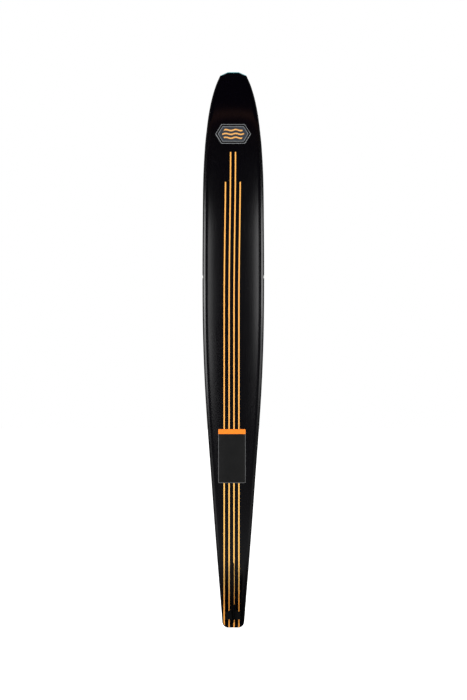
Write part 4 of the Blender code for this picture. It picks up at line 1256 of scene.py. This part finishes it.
broken_edges("block_body", "fin_block", EDGE_BREAK, BLOCK_BLACK)

# %% [markdown]
# The wings' flat plates are a little fuller in front than the solids', so some corners move. They
# are the corners beside the fold, from the nose to 25 mm behind the front screw. All of them widen
# to the nose, and those behind the screw also move forward.

# %% Widen the wings in front
SHEET_EDGE_BREAK = 0.00018
WING_NECK = 0.0034
WING_NOSE = 0.0074
WING_FRONT_HALF = -0.0250
WING_EDGE_FORWARD = 0.0040


def middle_of(solid_name):
    low, high = (Vector(corner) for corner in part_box(solid_name))
    return (low + high) / 2


def fuller_wing(shape):
    """Widen the nose of the flat plate and bring its front edge forward."""
    screw = middle_of("wing_screw_front")
    forward = (screw - middle_of("wing_screw_rear")).normalized()
    for vert in shape.verts:
        along = (vert.co - screw).dot(forward)
        side = abs(vert.co.x)
        if side > WING_NECK and along > WING_FRONT_HALF:
            if along < 0.0:
                vert.co += forward * WING_EDGE_FORWARD
            vert.co.x = math.copysign(max(side, WING_NOSE), vert.co.x)


for side in ("left", "right"):
    broken_edges(
        side + "_wing", "wing_" + side, SHEET_EDGE_BREAK, FIN_SHEET, fuller_wing,
    )

# %% [markdown]
# ## Fin
#
# The blade is a flat sheet, cut along one outline: straight along the top, a long sweep in front
# and a short one behind. Two T-shaped notches in its top edge hold the necks of the depth screws.
# The solid's corners are a few straight cuts, so the blade is drawn again here with fine arcs.
# The helper rounds a corner with an arc whose centre lies on the line that halves the corner.

# %% Round the corners of an outline
ARC_STEP = math.radians(3)


def rounded(corners):
    """Outline through (x, y, radius) corners, each rounded by an arc."""
    outline = []
    for i, (x, y, radius) in enumerate(corners):
        here = Vector((x, y))
        if radius <= 0.0:
            outline.append(here)
            continue
        back = (Vector(corners[i - 1][:2]) - here).normalized()
        ahead = (Vector(corners[(i + 1) % len(corners)][:2]) - here).normalized()
        half_angle = back.angle(ahead) / 2
        reach = radius / math.tan(half_angle)
        centre = here + (back + ahead).normalized() * radius / math.sin(half_angle)
        arm = here + back * reach - centre
        turn = arm.angle_signed(here + ahead * reach - centre)
        steps = max(2, round(abs(turn) / ARC_STEP))
        for step in range(steps + 1):
            point = arm.copy()
            point.rotate(Matrix.Rotation(-turn * step / steps, 2))
            outline.append(centre + point)
    return [tuple(point) for point in outline]


print("a rounded square has", len(rounded([(0, 0, 1), (4, 0, 1), (4, 4, 1), (0, 4, 1)])), "points")

# %% [markdown]
# Most corners of the blade come from the fin's own box and the two depth screws'. The outline runs
# along Z and Y, and the sheet has its thickness along X.

# %% Cut the fin blade
FIN_THICKNESS = 0.0016
FIN_BOTTOM_FRONT_SETBACK = 0.0275
FIN_BOTTOM_REAR_SETBACK = 0.0045
FIN_LEADING_RADIUS = 0.0600
FIN_TRAILING_RADIUS = 0.0160
FIN_TOP_RADIUS = 0.0030
CARRIAGE_END_ROOM = 0.0010
HOOK_HEIGHT = 0.0016
FOOT_HEIGHT = 0.0015
NOTCH_GAP = 0.0004
DEPTH_SCREW_NECK_RADIUS = 0.0013
WING_SCREW_RADIUS = 0.0015


def notch_corners(screw, top):
    """T-shaped notch for the neck and the foot of a depth screw, from rear to front."""
    low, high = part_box(screw)
    neck = DEPTH_SCREW_NECK_RADIUS + SEAT_GAP
    wide = (high[2] - low[2]) / 2 + NOTCH_GAP
    hook = top - HOOK_HEIGHT
    floor = hook - SEAT_GAP - FOOT_HEIGHT - NOTCH_GAP
    rear_half = ((-neck, top), (-neck, hook), (-wide, hook), (-wide, floor))
    front_half = [(-along, up) for along, up in reversed(rear_half)]
    return [(middle_of(screw).z + along, up, 0.0) for along, up in (*rear_half, *front_half)]


def blade_mesh():
    """Fin sheet from its outline in Z and Y."""
    (_, bottom, rear), (_, top, front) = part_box("fin")
    base = base_line(FIN_FROM_TAIL + FIN_LENGTH / 2)
    clamp_front, clamp_rear = front - CARRIAGE_END_ROOM, rear + CARRIAGE_END_ROOM
    outline = rounded([
        (clamp_rear, FIN_DECK, 0.0), (clamp_rear, top, FIN_TOP_RADIUS),
        *notch_corners("depth_screw_rear", top), *notch_corners("depth_screw_front", top),
        (clamp_front, top, FIN_TOP_RADIUS), (clamp_front, FIN_DECK, 0.0), (front, base, 0.0),
        (front - FIN_BOTTOM_FRONT_SETBACK, bottom, FIN_LEADING_RADIUS),
        (rear + FIN_BOTTOM_REAR_SETBACK, bottom, FIN_TRAILING_RADIUS), (rear, base, 0.0),
    ])
    return loft("fin_blade", [
        [(x, y, z) for z, y in outline] for x in (-FIN_THICKNESS / 2, FIN_THICKNESS / 2)
    ])


fin_blade = new_piece("fin_blade", blade_mesh(), [FIN_SHEET], BODY_OF["fin"])
wing_holes = [(0.0, *middle_of(name).yz) for name in ("wing_screw_front", "wing_screw_rear")]
cut_out(fin_blade, bars(wing_holes, WING_SCREW_RADIUS + SEAT_GAP, 4 * FIN_THICKNESS, ALONG_X))
break_edges(fin_blade, SHEET_EDGE_BREAK)
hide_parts("fin")

# %% [markdown]
# ## Screws, nuts and inserts
#
# Screws and inserts are lathe work: a profile turned about an axis. A thread is the same profile
# whose radius falls and rises once in every pitch, a little later on each side of the turn, which
# winds the groove into a helix.

# %% Turn a profile
TURNED_SIDES = 40
ROWS_IN_PITCH = 6


def thread_cut(thread, radius, height, turn):
    """Depth of the groove at this height, after this share of a turn."""
    wall, low, high, pitch, depth = thread
    if radius != wall or not low < height < high:
        return 0.0
    ramp = min(1.0, (height - low) / pitch, (high - height) / pitch)
    return depth * ramp * (1.0 - abs(2.0 * ((height / pitch - turn) % 1.0) - 1.0))


def turned_mesh(name, profile, thread):
    """Profile of (radius, height) points, top first, turned about Z.
    The thread is (radius, low, high, pitch, depth): a helix in the wall of that radius."""
    rows = []
    for (radius, high), (next_radius, low) in zip(profile, profile[1:]):
        rows.append((radius, high))
        if radius == next_radius == thread[0]:
            count = int(abs(high - low) / thread[3] * ROWS_IN_PITCH)
            rows += [(radius, high + (low - high) * i / count) for i in range(1, count)]
    rows.append(profile[-1])
    shape = bmesh.new()
    rings = []
    for radius, height in rows:
        if radius == 0.0:
            rings.append([shape.verts.new((0.0, 0.0, height))] * TURNED_SIDES)
            continue
        ring = []
        for side in range(TURNED_SIDES):
            angle = 2 * math.pi * side / TURNED_SIDES
            out = radius - thread_cut(thread, radius, height, side / TURNED_SIDES)
            ring.append(shape.verts.new((out * math.cos(angle), out * math.sin(angle), height)))
        rings.append(ring)
    for above, below in zip(rings, rings[1:]):
        for i in range(TURNED_SIDES):
            j = (i + 1) % TURNED_SIDES
            corners = list(dict.fromkeys((above[i], below[i], below[j], above[j])))
            if len(corners) > 2:
                shape.faces.new(corners)
    bmesh.ops.recalc_face_normals(shape, faces=shape.faces[:])
    return mesh_of(name, shape)


print("threads:", ROWS_IN_PITCH, "rows in each pitch and", TURNED_SIDES, "sides")

# %% [markdown]
# Each screw takes its place, length and radius from its solid. Its socket is cut with a bar of six
# sides.

# %% Put a turned piece in its place
SMOOTH_WITHIN = 40.0
HEXAGON = 6


def fitted(solid_name, axis):
    """Where a turned solid's outer end is and points, its length and its widest radius."""
    low, high = (Vector(corner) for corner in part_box(solid_name))
    axis = Vector(axis)
    size = high - low
    length = abs(size.dot(axis))
    radius = max(size[i] for i in range(3) if axis[i] == 0.0) / 2
    end = Matrix.Translation((low + high) / 2 + axis * length / 2)
    return end @ axis.to_track_quat("Z", "Y").to_matrix().to_4x4(), length, radius


def put_turned(name, solid_name, end, profile, thread, finish, socket=None):
    """Turned piece in the place of its solid. The socket is (radius, depth) of its hexagon."""
    mesh = turned_mesh(name, profile, thread)
    piece = new_piece(name, mesh, [finish], BODY_OF[solid_name], SMOOTH_WITHIN)
    if socket:
        radius, depth = socket
        cut_out(piece, bars([(0.0, 0.0, 0.0)], radius, 2 * depth, Matrix.Identity(4), HEXAGON))
        piece.data.set_sharp_from_angle(angle=math.radians(SMOOTH_WITHIN))
    piece.matrix_world = end
    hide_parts(solid_name)


print("block screw:", round(1000 * fitted("block_screw_1", (0, 1, 0))[1], 1), "mm long")

# %% [markdown]
# The block's six screws are M4 with a pitch of 0.7 mm. Their heads are domes with a flat crown.
# Blunt ends and rims take their chamfer from one number.

# %% Set the block screws
METRIC_DEPTH = 0.60
CHAMFER = 0.0004
M4_PITCH = 0.0007
DRIVE_SHARE = 0.60
HEAD_DRIVE_SHARE = 0.70
CROWN_SHARE = 0.50
DOME_SHARE = 0.85
DOME_STEPS = 8
RIM_SHARE = 0.97
MOUNT_HEAD_HEIGHT = 0.0022


def blunt_end(radius, length):
    """End of a shank, with a chamfer."""
    return [(radius, CHAMFER - length), (radius - CHAMFER, -length), (0.0, -length)]


def thread_of(radius, low, high, pitch):
    return (radius, low, high, pitch, METRIC_DEPTH * pitch)


def put_button(name, solid_name, axis, radius, head_height, pitch, finish):
    """Threaded screw with a domed head, a slightly rounded rim and a hexagon socket."""
    end, length, head_radius = fitted(solid_name, axis)
    crown = CROWN_SHARE * head_radius
    profile = [(0.0, 0.0)]
    for step in range(DOME_STEPS + 1):
        turn = math.pi / 2 * step / DOME_STEPS
        profile.append((
            crown + (head_radius - crown) * math.sin(turn),
            DOME_SHARE * head_height * (math.cos(turn) - 1),
        ))
    profile += [(RIM_SHARE * head_radius, -head_height), (radius, -head_height)]
    profile += blunt_end(radius, length)
    thread = thread_of(radius, CHAMFER - length, -head_height, pitch)
    put_turned(
        name, solid_name, end, profile, thread, finish,
        (radius * DRIVE_SHARE, head_height * HEAD_DRIVE_SHARE),
    )


for number in range(1, 7):
    put_button(
        "block_bolt_%d" % number, "block_screw_%d" % number, (0, 1, 0),
        MOUNT_SCREW_RADIUS, MOUNT_HEAD_HEIGHT, M4_PITCH, STEEL,
    )
print("block screws:", number)

# %% [markdown]
# The grub screws have no head. Four M4 ones lock the carriage from the sides, and two M5 ones with
# a pitch of 0.8 mm set it from the ends.

# %% Set the grub screws
M5_PITCH = 0.0008
DRIVE_DEPTH = 0.0018


def put_grub(name, solid_name, axis, pitch):
    end, length, radius = fitted(solid_name, axis)
    profile = [(0.0, 0.0), (radius - CHAMFER, 0.0), (radius, -CHAMFER), *blunt_end(radius, length)]
    thread = thread_of(radius, CHAMFER - length, -CHAMFER, pitch)
    put_turned(
        name, solid_name, end, profile, thread, STEEL,
        (radius * DRIVE_SHARE, DRIVE_DEPTH),
    )


for number, side in ((1, -1), (2, -1), (3, 1), (4, 1)):
    put_grub("lock_grub_%d" % number, "lock_screw_%d" % number, (side, 0, 0), M4_PITCH)
for row, side in (("front", 1), ("rear", -1)):
    put_grub("adjuster_" + row, "fore_aft_screw_" + row, (0, 0, side), M5_PITCH)
print("lock screws:", number, "and adjusters: 2")

# %% [markdown]
# A depth screw hangs in the fin by a thin neck and a round foot, which fits the notch in the
# blade. The foot is a hair narrower than the shank, so that it stays plain.

# %% Hang the depth screws
FOOT_SHARE = 0.999
for row in ("front", "rear"):
    solid_name = "depth_screw_" + row
    end, length, radius = fitted(solid_name, (0, 1, 0))
    neck_top = FOOT_HEIGHT + HOOK_HEIGHT + 2 * SEAT_GAP - length
    foot_top = FOOT_HEIGHT - length
    neck, foot = DEPTH_SCREW_NECK_RADIUS, FOOT_SHARE * radius
    profile = [
        (0.0, 0.0), (radius - CHAMFER, 0.0), (radius, -CHAMFER), (radius, neck_top),
        (neck, neck_top), (neck, foot_top), (foot, foot_top), (foot, -length), (0.0, -length),
    ]
    thread = thread_of(radius, neck_top, -CHAMFER, M5_PITCH)
    put_turned(
        "depth_bolt_" + row, solid_name, end, profile, thread, STEEL,
        (radius * DRIVE_SHARE, DRIVE_DEPTH),
    )
    print(row, "depth screw:", round(1000 * length, 1), "mm long")

# %% [markdown]
# Two M3 screws with a pitch of 0.5 mm go through the wings and the blade, each into a nut on the
# other side. A nut is a short bar of six sides with a hole.

# %% Clamp the wings
M3_PITCH = 0.0005
WING_HEAD_HEIGHT = 0.0016
NUT_EDGE_BREAK = 0.00015
for row in ("front", "rear"):
    put_button(
        "wing_bolt_" + row, "wing_screw_" + row, (1, 0, 0),
        WING_SCREW_RADIUS, WING_HEAD_HEIGHT, M3_PITCH, DARK_STEEL,
    )
    solid_name = "wing_nut_" + row
    low, high = (Vector(corner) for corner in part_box(solid_name))
    middle, size = (low + high) / 2, high - low
    nut = new_piece(
        "hex_nut_" + row, bars([middle], max(size.y, size.z) / 2, size.x, ALONG_X, HEXAGON),
        [DARK_STEEL], BODY_OF[solid_name],
    )
    cut_out(nut, bars([middle], WING_SCREW_RADIUS + SEAT_GAP / 2, 4 * size.x, ALONG_X))
    break_edges(nut, NUT_EDGE_BREAK)
    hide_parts(solid_name)

# %% [markdown]
# The binding inserts are brass with a 1/4-20 thread, whose pitch is 1.27 mm. Their wide rims lie
# flush in the deck.

# %% Set the binding inserts
INSERT_RADIUS = 0.0050
INSERT_BORE_RADIUS = 0.0031
INSERT_FLOOR = 0.0008
INSERT_PITCH = 0.00127
INSERT_THREAD_DEPTH = 0.00050
RIM_BREAK = 0.0003


def put_insert(name, solid_name):
    """Sleeve with a wide rim and a threaded bore."""
    end, length, rim = fitted(solid_name, (0, 1, 0))
    bore, floor = INSERT_BORE_RADIUS, INSERT_FLOOR - length
    profile = [
        (0.0, floor), (bore, floor), (bore, -RIM_BREAK), (bore + RIM_BREAK, 0.0),
        (rim - RIM_BREAK, 0.0), (rim, -RIM_BREAK), (rim, -WALL), (INSERT_RADIUS, -WALL),
        (INSERT_RADIUS, RIM_BREAK - length), (INSERT_RADIUS - RIM_BREAK, -length), (0.0, -length),
    ]
    thread = (bore, floor, -RIM_BREAK, INSERT_PITCH, INSERT_THREAD_DEPTH)
    put_turned(name, solid_name, end, profile, thread, BRASS)


for group in ("rear", "front"):
    for number in range(1, 7):
        put_insert("%s_insert_%d" % (group, number), "%s_binding_insert_%d" % (group, number))
print("binding inserts:", len(INSERT_CENTRES))
